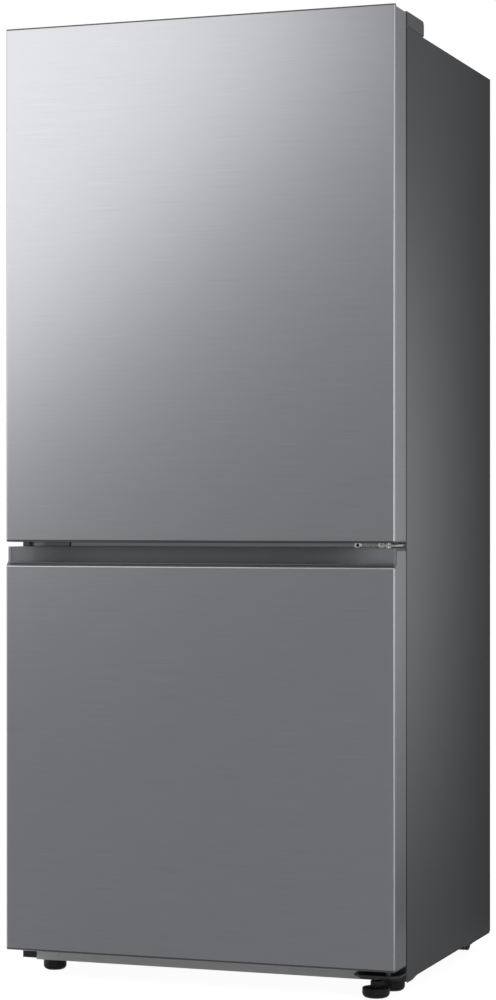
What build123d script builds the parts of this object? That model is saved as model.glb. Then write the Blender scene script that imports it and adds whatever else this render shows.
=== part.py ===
from build123d import *
import os

# Free-standing refrigerator: a tall fridge door above a freezer door, both hinged on the right.
# Millimetres. +Z is up, the doors face -Y, and the origin is on the floor under the middle.

# Overall sizes
WIDTH = 760.0
DEPTH = 680.0
DOOR_TOP = 1780.0
DOOR_BOTTOM = 55.0
UPPER_DOOR_BOTTOM = 819.3
DOOR_SPLIT_GAP = 8.6
DOOR_DEPTH = 69.0
DOOR_TO_CASE = 8.0
DOOR_ABOVE_CASE = 30.0
CASE_BOTTOM = 29.0

# Sheets, walls and compartments
SHEET = 1.0
LINER = 2.5
FRIDGE_WALL = 55.0
FREEZER_WALL = 70.0
TOP_WALL = 65.0
BACK_WALL = 65.0
MULLION = 66.0
FREEZER_FLOOR = 130.0
CASE_FLANGE = 48.0
CASE_FOLD = 1.5
LINER_CORNER = 12.0
MULLION_COVER_HEIGHT = 56.0
CUT = 1.0

# Base and machine compartment
BASE_HEIGHT = 16.0
BASE_SHEET = 1.5
BASE_RAIL_TOP = 115.0
BASE_FLANGE_DROP = 4.0
MACHINE_HEIGHT = 272.0
MACHINE_DEPTH = 199.0
MACHINE_WALL = 65.0
TRAY_Z = 26.0
TRAY_SHEET = 2.0
TAB_DROP = 4.0
TAB_LENGTH = 35.0
TAB_SLOPE = 30.0

# Doors
DOOR_EDGE_RADIUS = 4.0
DOOR_HEM = 12.0
TOP_RIM = 3.6
TOP_RIM_SHOWN = 2.4
CAP_RIM = 4.0
CAP_EDGE = 3.2
CAP_PLUG = 16.0
GASKET_WIDTH = 18.0
GASKET_INSET = 26.0
GASKET_TO_MIDDLE = 15.0
GASKET_BELOW_CASE_TOP = 24.0
GASKET_ABOVE_BASE = 52.0
RUNNING_GAP = 0.3
PAD_HEIGHT = 6.0
PAD_INSET = 95.0

# Finger grip on top of the lower door
GRIP_HEIGHT = 34.7
GRIP_SETBACK = 12.0
GRIP_SLOPE = 8.0
GRIP_SAG = 26.0
GRIP_POST = 5.0
GRIP_POST_STAND = 2.0
GRIP_LIP = 7.0
LIP_FOLD = 3.0
LIP_BAND = 10.0
NOSE_GAP = 2.8
NOSE_HEIGHT = 2.8
NOSE_DEPTH = 4.5
NOSE_WALL = 2.0
NOSE_EDGE = 1.2
CHEEK_DROP = 5.4
CHEEK_CORNER = 4.0
GRIP_POCKET_DEPTH = 24.0
GRIP_CAP_DEPTH = 38.0

# Hinges
HINGE_INSET = 22.0
HINGE_SETBACK = 33.0
HINGE_PIN_RADIUS = 5.0
PIN_CLEARANCE = 0.05
BUSH_RADIUS = 9.0
BUSH_LENGTH = 14.0
PIN_SHORT = 1.0
HINGE_ARM_WIDTH = 24.0
HINGE_PLATE = 3.0
HINGE_ARM_LIFT = 0.4
NOTCH_SIDE = 2.0
NOTCH_FRONT = 26.0
TOP_PLATE_WIDTH = 82.0
TOP_PLATE_LENGTH = 84.0
TOP_RISER_BACK = 10.0
COVER_WIDTH = 112.0
COVER_LENGTH = 112.0
COVER_WALL = 2.2
COVER_RADIUS = 9.0
COVER_REBATE = 2.6
COVER_REBATE_DEPTH = 1.4
MID_ARM = 4.0
MID_ARM_WIDTH = 30.0
MID_ARM_SIDE = 4.0
MID_ARM_FRONT = 18.0
MID_PLATE_WIDTH = 95.0
MID_PLATE_GAP = 1.0
MID_EAR_WIDTH = 62.0
MID_EAR_HEIGHT = 13.0
MID_SCREW_INSET = 7.5
MID_SCREW_SPACING = 45.0
BOTTOM_PLATE = 4.0
BOTTOM_PLATE_SIDE = 0.8
BOTTOM_PLATE_WIDTH = 87.0
BOTTOM_PLATE_FRONT = 23.0
BOTTOM_PLATE_DROP = 11.0
BOTTOM_PLATE_CUT = 14.0
BOTTOM_FLANGE_HEIGHT = 25.5
BOTTOM_FLANGE_GAP = 2.0
BOTTOM_SCREW_DROP = 6.3
SCREW_HEAD_RADIUS = 6.0
SCREW_HEAD_HEIGHT = 3.0
SCREW_SHANK_RADIUS = 3.0
SCREW_SOCKET_RADIUS = 3.2
SCREW_SOCKET_DEPTH = 2.0

# Strips seen between and under the doors
KICK_THICKNESS = 3.0
KICK_BOTTOM = 27.0
KICK_HEIGHT = 48.0
KICK_LEFT_INSET = 30.0
KICK_CLIP = 1.0
KICK_CLIP_WIDTH = 52.0
KICK_CLIP_SLANT = 8.0
SPARE_CAP_SIDE = 4.0
SPARE_CAP_WIDTH = 23.0
SPARE_CAP_DEPTH = 6.0
SPARE_CAP_HEIGHT = 22.0
SPARE_CAP_HOLE = 4.0
SPARE_STRIP_WIDTH = 75.0
SPARE_STRIP_DEPTH = 4.0
SPARE_STRIP_SLANT = 6.0
BASE_CAP_BOTTOM = 31.0
BASE_CAP_HEIGHT = 13.0
BASE_CAP_EDGE = 3.0

# Feet and rollers
FOOT_INSET = 43.0
FOOT_BEHIND_CASE_FRONT = 55.0
FOOT_RADIUS = 22.0
FOOT_HEIGHT = 26.0
FOOT_NECK_RADIUS = 7.0
FOOT_NECK_HEIGHT = 3.0
FOOT_EDGE = 2.0
FOOT_ROUND = 9.0
STUD_RADIUS = 5.0
STUD_SHORT = 1.0
BOSS_RADIUS = 10.0
BOSS_HEIGHT = 11.0
LEG_INSET = 52.0
LEG_BEHIND_DOOR_FRONT = 55.0
LEG_FOOT_RADIUS = 25.0
LEG_NECK_GAP = 11.5
ROLLER_RADIUS = 18.0
ROLLER_WIDTH = 20.0
ROLLER_INSET = 35.0
ROLLER_FROM_BACK = 75.0
ROLLER_AXLE_RADIUS = 4.0
ROLLER_SIDE_GAP = 1.0
ROLLER_PLATE = 2.5
ROLLER_PLATE_LENGTH = 34.0
ROLLER_PLATE_BELOW_AXLE = 7.0

# Fridge fittings
COVER_ABOVE_FLOOR = 208.0
SHELF_GLASS = 4.0
SHELF_FROM_FRONT = 113.0
SHELF_SIDE_GAP = 4.0
SHELF_RIB = 10.0
SHELF_RIB_HEIGHT = 7.0
TRIM_DEPTH = 6.0
TRIM_HEIGHT = 16.0
TRIM_OVERLAP = 6.0
DUCT_SIDE_GAP = 135.0
DUCT_DEPTH = 26.0
DUCT_MARGIN = 26.0
DUCT_SLOT_WIDTH = 60.0
DUCT_SLOT_HEIGHT = 12.0
DUCT_WALL = 2.5
DUCT_SLOT_INSET = 85.0
DUCT_SLOT_ROWS = 4
LAMP_SIDE_GAP = 215.0
LAMP_LENGTH = 80.0
LAMP_HEIGHT = 8.0
LAMP_FROM_FRONT = 200.0
CRISPER_FROM_FRONT = 113.0
CRISPER_BELOW_COVER = 17.7
CRISPER_WALL = 3.0
CRISPER_FACE = 8.0
CRISPER_MIDDLE_GAP = 8.0
CRISPER_SIDE_GAP = 19.0
CRISPER_CORNER = 10.0
CRISPER_BAR = 5.0
CRISPER_BAR_WIDTH = 120.0
CRISPER_BAR_HEIGHT = 14.0
CRISPER_BAR_DROP = 22.0
RUNNER_HEIGHT = 4.0
RUNNER_WIDTH = 8.0
RUNNER_INSET = 28.0

# Door bins and the rails that hold them
LOW_BIN_ABOVE_FLOOR = 57.0
HIGH_BIN_BELOW_TOP = 140.0
LOW_BIN_HEIGHT = 140.0
MIDDLE_BIN_HEIGHT = 115.0
HIGH_BIN_HEIGHT = 105.0
BIN_DEPTH = 102.0
BIN_WALL = 3.0
BIN_CORNER = 12.0
BIN_LUG_WIDTH = 10.0
BIN_LUG_LENGTH = 24.0
BIN_LUG_HEIGHT = 10.0
BIN_LUG_BACK = 8.0
RAIL_WIDTH = 22.0
RAIL_DEPTH = 40.0
RAIL_WALL_GAP = 12.0
RAIL_END_GAP = 24.0

# Freezer fittings
DRAWER_ABOVE_FLOOR = 6.0
DRAWER_BELOW_STEP = 15.0
DRAWER_ABOVE_STEP = 7.0
DRAWER_BETWEEN = 10.0
DRAWER_BELOW_TOP = 16.0
DRAWER_FROM_FRONT = 38.0
DRAWER_BACK_GAP = 10.0
DRAWER_WALL = 3.0
DRAWER_FACE = 10.0
DRAWER_FACE_SIDE = 10.0
DRAWER_CORNER = 10.0
DRAWER_RIB = 10.0
DRAWER_RIB_HEIGHT = 8.0
DRAWER_RIB_GAP = 3.0
DRAWER_FLANGE_DROP = 44.0
DRAWER_FLANGE_HEIGHT = 4.0
DRAWER_RIM_DROP = 8.0
DRAWER_BAR = 7.0
DRAWER_BAR_WIDTH = 180.0
DRAWER_BAR_HEIGHT = 10.0
DRAWER_BAR_DROP = 24.0

# Cooling parts
EVAP_COVER_TO_BACK = 75.0
EVAP_COVER = 4.0
EVAP_COVER_GAP = 0.3
EVAP_COVER_LEG = 4.0
EVAP_SIDE_GAP = 60.0
EVAP_BOTTOM_GAP = 20.0
EVAP_FAN_GAP = 11.0
EVAP_DEPTH = 44.0
EVAP_FINS = 18
EVAP_FIN = 1.2
EVAP_TUBE = 4.0
EVAP_TUBE_ROWS = 5
EVAP_FAN_BELOW_TOP = 86.0
EVAP_FAN_RADIUS = 56.0
FAN_TIP_GAP = 6.0
FAN_HUB_RADIUS = 14.0
FAN_LENGTH = 20.0
FAN_BLADES = 7
FAN_BLADE = 2.5
FAN_BLADE_CHORD = 24.0
FAN_PITCH = 35.0
FAN_FLOOR = 2.0
SHAFT_RADIUS = 3.0
MOTOR_RADIUS = 20.0
MOTOR_LENGTH = 28.0
MOTOR_GAP = 3.0
MOTOR_ARM = 6.0
MOTOR_ARM_REACH = 12.0
COMPRESSOR_SIDE_GAP = 82.5
COMPRESSOR_RADIUS = 72.0
COMPRESSOR_HEIGHT = 140.0
COMPRESSOR_TOP_ROUND = 34.0
COMPRESSOR_PLATE = 4.0
COMPRESSOR_PLATE_WIDTH = 200.0
COMPRESSOR_PLATE_LENGTH = 150.0
MOUNT_RADIUS = 12.0
MOUNT_HEIGHT = 18.0
MOUNT_INSET = 16.0
PORT_HEIGHT = 70.0
PORT_REACH = 12.0
PIPE_RADIUS = 4.0
PIPE_BEND = 22.0
PIPE_BELOW_ROOF = 18.0
DRIER_RADIUS = 10.0
DRIER_LENGTH = 60.0
CONDENSER_SIDE_GAP = 27.5
CONDENSER_WIDTH = 70.0
CONDENSER_LENGTH = 150.0
CONDENSER_BELOW_ROOF = 46.0
CONDENSER_FINS = 16
CONDENSER_FIN = 1.5
CONDENSER_TUBE = 4.0
CONDENSER_TUBE_ROWS = 4
CONDENSER_STUB = 7.0
CONDENSER_FAN_GAP = 39.0
CONDENSER_FAN_RADIUS = 66.0
SHROUD = 4.0
SHROUD_HALF = 84.0
COVER_SLOTS = 7
COVER_SLOT_WIDTH = 120.0
COVER_SLOT_HEIGHT = 8.0
COVER_SLOT_PITCH = 24.0
COVER_SLOT_INSET = 147.5
INLET_X = -20.0
INLET_Z = 75.0
INLET_RADIUS = 9.0
INLET_FLANGE = 4.0
INLET_LENGTH = 8.0
INLET_BORE = 4.5

# Planes worked out from the sizes above
HALF = WIDTH / 2
FRONT = -DEPTH / 2
DOOR_BACK = FRONT + DOOR_DEPTH
CASE_FRONT = DOOR_BACK + DOOR_TO_CASE
CASE_BACK = DEPTH / 2
CASE_TOP = DOOR_TOP - DOOR_ABOVE_CASE
CASE_IN = HALF - SHEET
LOWER_DOOR_TOP = UPPER_DOOR_BOTTOM - DOOR_SPLIT_GAP
MIDDLE = UPPER_DOOR_BOTTOM - DOOR_SPLIT_GAP / 2
FLANGE_BACK = CASE_FRONT + SHEET + LINER
PANEL_FRONT = CASE_BACK - SHEET
FRIDGE_IN = HALF - FRIDGE_WALL
FRIDGE_OUT = FRIDGE_IN + LINER
FRIDGE_TOP = CASE_TOP - TOP_WALL
FRIDGE_FLOOR = MIDDLE + MULLION / 2
FREEZER_IN = HALF - FREEZER_WALL
FREEZER_OUT = FREEZER_IN + LINER
FREEZER_TOP = MIDDLE - MULLION / 2
LINER_BACK = CASE_BACK - BACK_WALL
LINER_REAR = LINER_BACK + LINER
BASE_TOP = CASE_BOTTOM + BASE_HEIGHT
MACHINE_TOP = TRAY_Z + TRAY_SHEET + MACHINE_HEIGHT
MACHINE_FRONT = PANEL_FRONT - MACHINE_DEPTH
MACHINE_MIDDLE = MACHINE_FRONT + MACHINE_DEPTH / 2
STEP_TOP = MACHINE_TOP + MACHINE_WALL
STEP_FRONT = MACHINE_FRONT - MACHINE_WALL
TRAY_TOP = TRAY_Z + TRAY_SHEET
SKIN_BACK = DOOR_BACK - SHEET
DOOR_LINER_FRONT = SKIN_BACK - LINER
DOOR_IN = HALF - SHEET
LIP = LOWER_DOOR_TOP - GRIP_HEIGHT
HINGE_X = HALF - HINGE_INSET
HINGE_Y = FRONT + HINGE_SETBACK
ARM_BOTTOM = DOOR_TOP - TOP_RIM + HINGE_ARM_LIFT
ARM_TOP = ARM_BOTTOM + HINGE_PLATE
RAIL_OUT = FRIDGE_IN - RAIL_WALL_GAP
RAIL_IN = RAIL_OUT - RAIL_WIDTH
RAIL_BACK = SKIN_BACK + RAIL_DEPTH
RAIL_LOW = FRIDGE_FLOOR + RAIL_END_GAP
RAIL_HIGH = FRIDGE_TOP - RAIL_END_GAP
DUCT_FRONT = LINER_BACK - DUCT_DEPTH
DUCT_HALF_WIDTH = FRIDGE_IN - DUCT_SIDE_GAP
DUCT_SLOT_X = DUCT_HALF_WIDTH - DUCT_SLOT_INSET
LAMP_HALF_WIDTH = FRIDGE_IN - LAMP_SIDE_GAP
SHELF_FRONT = CASE_FRONT + SHELF_FROM_FRONT
SHELF_BACK = DUCT_FRONT - RUNNING_GAP
SHELF_HALF = FRIDGE_IN - SHELF_SIDE_GAP
COVER_LEVEL = FRIDGE_FLOOR + COVER_ABOVE_FLOOR
SHELF_RISE = (FRIDGE_TOP - COVER_LEVEL) / 3
SHELF_LEVELS = (COVER_LEVEL + SHELF_RISE, COVER_LEVEL + 2 * SHELF_RISE)
CRISPER_FRONT = CASE_FRONT + CRISPER_FROM_FRONT
CRISPER_LOW = FRIDGE_FLOOR + RUNNER_HEIGHT + RUNNING_GAP
CRISPER_HIGH = COVER_LEVEL - CRISPER_BELOW_COVER
LOW_BIN = FRIDGE_FLOOR + LOW_BIN_ABOVE_FLOOR
HIGH_BIN = FRIDGE_TOP - HIGH_BIN_BELOW_TOP - HIGH_BIN_HEIGHT
MIDDLE_BIN = (LOW_BIN + LOW_BIN_HEIGHT + HIGH_BIN - MIDDLE_BIN_HEIGHT) / 2
DRAWER_FRONT = CASE_FRONT + DRAWER_FROM_FRONT
LOW_DRAWER = FREEZER_FLOOR + DRAWER_ABOVE_FLOOR
LOW_DRAWER_HEIGHT = STEP_TOP - DRAWER_BELOW_STEP - LOW_DRAWER
MIDDLE_DRAWER = STEP_TOP + DRAWER_ABOVE_STEP
DRAWER_HEIGHT = (FREEZER_TOP - DRAWER_BELOW_TOP - MIDDLE_DRAWER - DRAWER_BETWEEN) / 2
HIGH_DRAWER = MIDDLE_DRAWER + DRAWER_HEIGHT + DRAWER_BETWEEN
FOOT_X = HALF - FOOT_INSET
FOOT_Y = CASE_FRONT + FOOT_BEHIND_CASE_FRONT
LEG_X = HALF - LEG_INSET
LEG_Y = FRONT + LEG_BEHIND_DOOR_FRONT
BOTTOM_PLATE_TOP = DOOR_BOTTOM - BOTTOM_PLATE_DROP
BOTTOM_PLATE_LOW = BOTTOM_PLATE_TOP - BOTTOM_PLATE
LEG_BOSS_LOW = BOTTOM_PLATE_TOP - BOSS_HEIGHT
LEG_FOOT_HEIGHT = LEG_BOSS_LOW - LEG_NECK_GAP - FOOT_NECK_HEIGHT
BOTTOM_RIGHT = HALF - BOTTOM_PLATE_SIDE
BOTTOM_LEFT = BOTTOM_RIGHT - BOTTOM_PLATE_WIDTH
EVAP_COVER_BACK = LINER_BACK - EVAP_COVER_TO_BACK + EVAP_COVER
EVAP_COVER_FRONT = EVAP_COVER_BACK - EVAP_COVER
EVAP_HALF_WIDTH = FREEZER_IN - EVAP_SIDE_GAP
EVAP_FAN_Z = FREEZER_TOP - EVAP_FAN_BELOW_TOP
EVAP_FAN_REACH = EVAP_FAN_RADIUS + FAN_TIP_GAP + MOTOR_ARM_REACH
EVAP_TOP = EVAP_FAN_Z - EVAP_FAN_REACH - MOTOR_ARM - EVAP_FAN_GAP
COMPRESSOR_X = FREEZER_OUT - COMPRESSOR_SIDE_GAP - COMPRESSOR_PLATE_WIDTH / 2
CONDENSER_X = -FREEZER_OUT + CONDENSER_SIDE_GAP
CONDENSER_TOP = MACHINE_TOP - CONDENSER_BELOW_ROOF
CONDENSER_FAN_X = CONDENSER_X + CONDENSER_WIDTH + CONDENSER_FAN_GAP
COVER_SLOT_X = FREEZER_OUT - COVER_SLOT_INSET
ROLLER_X = HALF - ROLLER_INSET
ROLLER_Y = CASE_BACK - ROLLER_FROM_BACK
SHAFT_HOLE = SHAFT_RADIUS + PIN_CLEARANCE
PIN_HOLE = HINGE_PIN_RADIUS + PIN_CLEARANCE
BUSH_HOLE = BUSH_RADIUS + PIN_CLEARANCE
SCREW_HOLE = SCREW_SHANK_RADIUS + PIN_CLEARANCE
STUD_HOLE = STUD_RADIUS + PIN_CLEARANCE


# Helpers

def slab(x0, x1, y0, y1, z0, z1):
    place = Pos((x0 + x1) / 2, (y0 + y1) / 2, (z0 + z1) / 2)
    return place * Box(x1 - x0, y1 - y0, z1 - z0)


def wide_slab(half, y0, y1, z0, z1):
    """Block that reaches as far to the left as to the right."""
    return slab(-half, half, y0, y1, z0, z1)


def both_sides(shape):
    return [shape, mirror(shape, about=Plane.YZ)]


def post(x, y, z0, z1, radius):
    return Pos(x, y, (z0 + z1) / 2) * Cylinder(radius, z1 - z0)


def rod_x(y, z, x0, x1, radius):
    return Pos((x0 + x1) / 2, y, z) * Rot(0, 90, 0) * Cylinder(radius, x1 - x0)


def rod_y(x, z, y0, y1, radius):
    return Pos(x, (y0 + y1) / 2, z) * Rot(90, 0, 0) * Cylinder(radius, y1 - y0)


def side_plate(points, x0, x1):
    """Solid between x0 and x1 whose outline is given as (y, z) points."""
    face = Plane.YZ * make_face(Polyline(*points, close=True))
    return Pos(x0, 0, 0) * extrude(face, x1 - x0)


def plan_plate(points, z0, z1):
    """Solid between z0 and z1 whose outline is given as (x, y) points."""
    return Pos(0, 0, z0) * extrude(make_face(Polyline(*points, close=True)), z1 - z0)


def front_plate(points, y0, y1):
    """Solid between y0 and y1 whose outline is given as (x, z) points."""
    face = Plane.XZ * make_face(Polyline(*points, close=True))
    return Pos(0, y0, 0) * extrude(face, -(y1 - y0))


def spread(low, high, count):
    """Centres of count equal strips between low and high."""
    step = (high - low) / count
    return [low + step * (i + 0.5) for i in range(count)]


def group(shapes):
    """Separate solids kept together in one node."""
    solids = []
    for shape in shapes:
        solids.extend(shape.solids())
    return Compound(children=solids)


def open_tray(x0, x1, y0, y1, z0, z1, wall, face, corner):
    """Open-topped box with rounded inner uprights and a thicker face at y0."""
    void = slab(x0 + wall, x1 - wall, y0 + face, y1 - wall, z0 + wall, z1 + CUT)
    void = fillet(void.edges().filter_by(Axis.Z), corner)
    return slab(x0, x1, y0, y1, z0, z1) - void


def door_block(inset, z0, z1, back=DOOR_BACK):
    """The door's footprint, drawn in by inset, with rounded front uprights."""
    block = slab(-HALF + inset, HALF - inset, FRONT + inset, back, z0, z1)
    uprights = block.edges().filter_by(Axis.Z).group_by(Axis.Y)[0]
    return fillet(uprights, DOOR_EDGE_RADIUS - inset)


def door_sheet(z0, z1):
    """Folded sheet round the front and sides, with hems along the back."""
    sheet = door_block(0, z0, z1) - door_block(SHEET, z0 - CUT, z1 + CUT, DOOR_BACK + CUT)
    hem = slab(HALF - DOOR_HEM, DOOR_IN, SKIN_BACK, DOOR_BACK, z0, z1)
    return sheet + both_sides(hem)


def bush(z0, z1):
    return post(HINGE_X, HINGE_Y, z0, z1, BUSH_RADIUS) - post(HINGE_X, HINGE_Y, z0 - CUT, z1 + CUT, PIN_HOLE)


def ring(half_out, z0, z1, width, y0, y1):
    """Upright rectangular ring."""
    outer = wide_slab(half_out, y0, y1, z0, z1)
    return outer - slab(-half_out + width, half_out - width, y0 - CUT, y1 + CUT, z0 + width, z1 - width)


def fan(radius):
    """Bladed wheel about Z from 0 to FAN_LENGTH, with a blind shaft hole open at the top."""
    wheel = [post(0, 0, 0, FAN_LENGTH, FAN_HUB_RADIUS)]
    inner = FAN_HUB_RADIUS - FAN_BLADE
    for i in range(FAN_BLADES):
        blade = Rot(FAN_PITCH, 0, 0) * Box(radius - inner, FAN_BLADE_CHORD, FAN_BLADE)
        wheel.append(Rot(0, 0, 360 * i / FAN_BLADES) * Pos((radius + inner) / 2, 0, FAN_LENGTH / 2) * blade)
    blades = Part() + wheel
    rim = post(0, 0, -FAN_LENGTH, 2 * FAN_LENGTH, radius)
    return (blades & rim) - post(0, 0, FAN_FLOOR, FAN_LENGTH + CUT, SHAFT_HOLE)


def pipe(points):
    """Round tube of small bends along the points."""
    path = FilletPolyline(*points, radius=PIPE_BEND)
    section = Plane(path @ 0, z_dir=path % 0) * Circle(PIPE_RADIUS)
    return sweep(section, path=path)


# Cabinet shell

def outer_case():
    wrap = wide_slab(HALF, CASE_FRONT, CASE_BACK, CASE_BOTTOM, CASE_TOP)
    wrap = fillet(wrap.edges().filter_by(Axis.Z).group_by(Axis.Y)[0], CASE_FOLD)
    wrap -= wide_slab(CASE_IN, CASE_FRONT + SHEET, CASE_BACK + CUT, CASE_BOTTOM - CUT, CASE_TOP - SHEET)
    clear = HALF - CASE_FLANGE
    wrap -= wide_slab(clear, CASE_FRONT - CUT, FLANGE_BACK, CASE_BOTTOM - CUT, CASE_TOP - CASE_FLANGE)
    tab = side_plate(
        [
            (CASE_FRONT, CASE_BOTTOM),
            (CASE_FRONT, CASE_BOTTOM - TAB_DROP),
            (CASE_FRONT + TAB_LENGTH, CASE_BOTTOM - TAB_DROP),
            (CASE_FRONT + TAB_LENGTH + TAB_SLOPE, CASE_BOTTOM),
        ],
        CASE_IN,
        HALF,
    )
    return wrap + tab


def rear_panel():
    panel = wide_slab(CASE_IN, PANEL_FRONT, CASE_BACK, BASE_TOP, CASE_TOP - SHEET)
    return panel - wide_slab(FREEZER_OUT, PANEL_FRONT - CUT, CASE_BACK + CUT, BASE_TOP - CUT, MACHINE_TOP)


def base_frame():
    floor = wide_slab(CASE_IN, CASE_FRONT + SHEET, MACHINE_FRONT, BASE_TOP - BASE_SHEET, BASE_TOP)
    rail_half = HALF - CASE_FLANGE
    rail = wide_slab(rail_half, CASE_FRONT, CASE_FRONT + SHEET, CASE_BOTTOM, BASE_RAIL_TOP)
    lip = wide_slab(rail_half, CASE_FRONT, CASE_FRONT + SHEET + BASE_SHEET, BASE_TOP - BASE_SHEET, BASE_TOP)
    start = MACHINE_FRONT - BASE_SHEET
    side = FREEZER_OUT - BASE_SHEET
    tray = wide_slab(FREEZER_OUT, start, PANEL_FRONT, TRAY_Z, TRAY_TOP)
    step = wide_slab(FREEZER_OUT, start, MACHINE_FRONT, TRAY_Z, BASE_TOP)
    deck = slab(side, CASE_IN, MACHINE_FRONT - CUT, PANEL_FRONT, BASE_TOP - BASE_SHEET, BASE_TOP)
    wall = slab(side, FREEZER_OUT, start, PANEL_FRONT, TRAY_Z, BASE_TOP)
    flange_low = CASE_BOTTOM - BASE_FLANGE_DROP
    flange = slab(CASE_IN - BASE_SHEET, CASE_IN, MACHINE_FRONT, PANEL_FRONT, flange_low, BASE_TOP)
    skirt = slab(CASE_IN - BASE_SHEET, CASE_IN, CASE_FRONT + SHEET, MACHINE_FRONT, CASE_BOTTOM, BASE_TOP)
    boss = post(FOOT_X, FOOT_Y, BASE_TOP - BOSS_HEIGHT, BASE_TOP, BOSS_RADIUS)
    frame = floor + [rail, lip, tray, step]
    frame += both_sides(deck) + both_sides(wall) + both_sides(flange) + both_sides(skirt) + both_sides(boss)
    bore = post(FOOT_X, FOOT_Y, BASE_TOP - BOSS_HEIGHT - CUT, BASE_TOP + CUT, STUD_HOLE)
    return frame - both_sides(bore)


def cabinet_insulation():
    roof = CASE_TOP - SHEET
    wide = both_sides(slab(FRIDGE_OUT, CASE_IN, FLANGE_BACK, PANEL_FRONT, MIDDLE, roof))
    wide += both_sides(slab(FREEZER_OUT, CASE_IN, FLANGE_BACK, PANEL_FRONT, BASE_TOP, MIDDLE))
    fridge = (-FRIDGE_OUT, FRIDGE_OUT)
    freezer = (-FREEZER_OUT, FREEZER_OUT)
    slabs = [
        slab(*fridge, FLANGE_BACK, PANEL_FRONT, FRIDGE_TOP + LINER, roof),
        slab(*fridge, LINER_REAR, PANEL_FRONT, MIDDLE, FRIDGE_TOP + LINER),
        slab(*fridge, FLANGE_BACK, LINER_REAR, MIDDLE, FRIDGE_FLOOR - LINER),
        slab(*freezer, FLANGE_BACK, LINER_REAR, FREEZER_TOP + LINER, MIDDLE),
        slab(*freezer, LINER_REAR, PANEL_FRONT, MACHINE_TOP, MIDDLE),
        slab(*freezer, FLANGE_BACK, MACHINE_FRONT, BASE_TOP, FREEZER_FLOOR - LINER),
        slab(*freezer, STEP_FRONT + LINER, MACHINE_FRONT, FREEZER_FLOOR - LINER, STEP_TOP - LINER),
        slab(*freezer, MACHINE_FRONT, LINER_REAR, MACHINE_TOP, STEP_TOP - LINER),
    ]
    return group(wide + slabs)


def rounded_void(half, y1, z0, z1):
    """Inside of a compartment, open to the front, with rounded long corners."""
    void = wide_slab(half, CASE_FRONT, y1, z0, z1)
    return fillet(void.edges().filter_by(Axis.Y), LINER_CORNER)


def fridge_liner():
    shell = wide_slab(FRIDGE_OUT, CASE_FRONT + SHEET, LINER_REAR, FRIDGE_FLOOR - LINER, FRIDGE_TOP + LINER)
    shell += wide_slab(CASE_IN, CASE_FRONT + SHEET, FLANGE_BACK, MIDDLE, CASE_TOP - SHEET)
    shell -= rounded_void(FRIDGE_IN, LINER_BACK, FRIDGE_FLOOR, FRIDGE_TOP)
    ribs = []
    for level in (COVER_LEVEL, *SHELF_LEVELS):
        low = level - SHELF_RIB_HEIGHT
        rib = slab(FRIDGE_IN - SHELF_RIB, FRIDGE_IN + CUT, SHELF_FRONT, SHELF_BACK, low, level)
        ribs += both_sides(rib)
    runner_top = FRIDGE_FLOOR + RUNNER_HEIGHT
    for x0, x1 in crisper_spans():
        for x in (x0 + RUNNER_INSET, x1 - RUNNER_INSET):
            left = x - RUNNER_WIDTH / 2
            right = x + RUNNER_WIDTH / 2
            ribs.append(slab(left, right, CRISPER_FRONT, LINER_BACK, FRIDGE_FLOOR - CUT, runner_top))
    return shell + ribs


def freezer_liner():
    outline = [
        (CASE_FRONT + SHEET, FREEZER_FLOOR - LINER),
        (STEP_FRONT + LINER, FREEZER_FLOOR - LINER),
        (STEP_FRONT + LINER, STEP_TOP - LINER),
        (LINER_REAR, STEP_TOP - LINER),
        (LINER_REAR, FREEZER_TOP + LINER),
        (CASE_FRONT + SHEET, FREEZER_TOP + LINER),
    ]
    shell = side_plate(outline, -FREEZER_OUT, FREEZER_OUT)
    shell += wide_slab(CASE_IN, CASE_FRONT + SHEET, FLANGE_BACK, BASE_TOP, MIDDLE)
    void = rounded_void(FREEZER_IN, STEP_FRONT, FREEZER_FLOOR, FREEZER_TOP)
    void += wide_slab(FREEZER_IN, STEP_FRONT - LINER_CORNER, LINER_BACK, STEP_TOP, FREEZER_TOP)
    shell -= void
    ribs = []
    for bottom, height, back in drawer_places():
        top = bottom + height - DRAWER_FLANGE_DROP - RUNNING_GAP
        start = DRAWER_FRONT + DRAWER_FACE + RUNNING_GAP
        rib = slab(FREEZER_IN - DRAWER_RIB, FREEZER_IN + CUT, start, back, top - DRAWER_RIB_HEIGHT, top)
        ribs += both_sides(rib)
    return shell + ribs


def mullion_cover():
    half = HALF - CASE_FLANGE
    low = MIDDLE - MULLION_COVER_HEIGHT / 2
    return wide_slab(half, CASE_FRONT, CASE_FRONT + SHEET, low, low + MULLION_COVER_HEIGHT)


# Strips and caps seen in the gaps round the doors

def spare_hinge_caps():
    left = -HALF + SPARE_CAP_SIDE
    right = left + SPARE_CAP_WIDTH
    low = MIDDLE - SPARE_CAP_HEIGHT / 2
    high = MIDDLE + SPARE_CAP_HEIGHT / 2
    face = CASE_FRONT - SPARE_CAP_DEPTH
    cap = slab(left, right, face, CASE_FRONT, low, high)
    cap -= rod_y(right - SPARE_CAP_DEPTH, MIDDLE, face - CUT, CASE_FRONT - CUT, SPARE_CAP_HOLE)
    end = right + SPARE_STRIP_WIDTH
    strip = front_plate(
        [(right, low), (end - SPARE_STRIP_SLANT, low), (end, high), (right, high)],
        CASE_FRONT - SPARE_STRIP_DEPTH,
        CASE_FRONT,
    )
    base_cap = slab(
        left,
        -HALF + KICK_LEFT_INSET,
        face,
        CASE_FRONT,
        BASE_CAP_BOTTOM,
        BASE_CAP_BOTTOM + BASE_CAP_HEIGHT,
    )
    base_cap = fillet(base_cap.edges().filter_by(Axis.Y).group_by(Axis.X)[0], BASE_CAP_EDGE)
    return group([cap, strip, base_cap])


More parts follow.
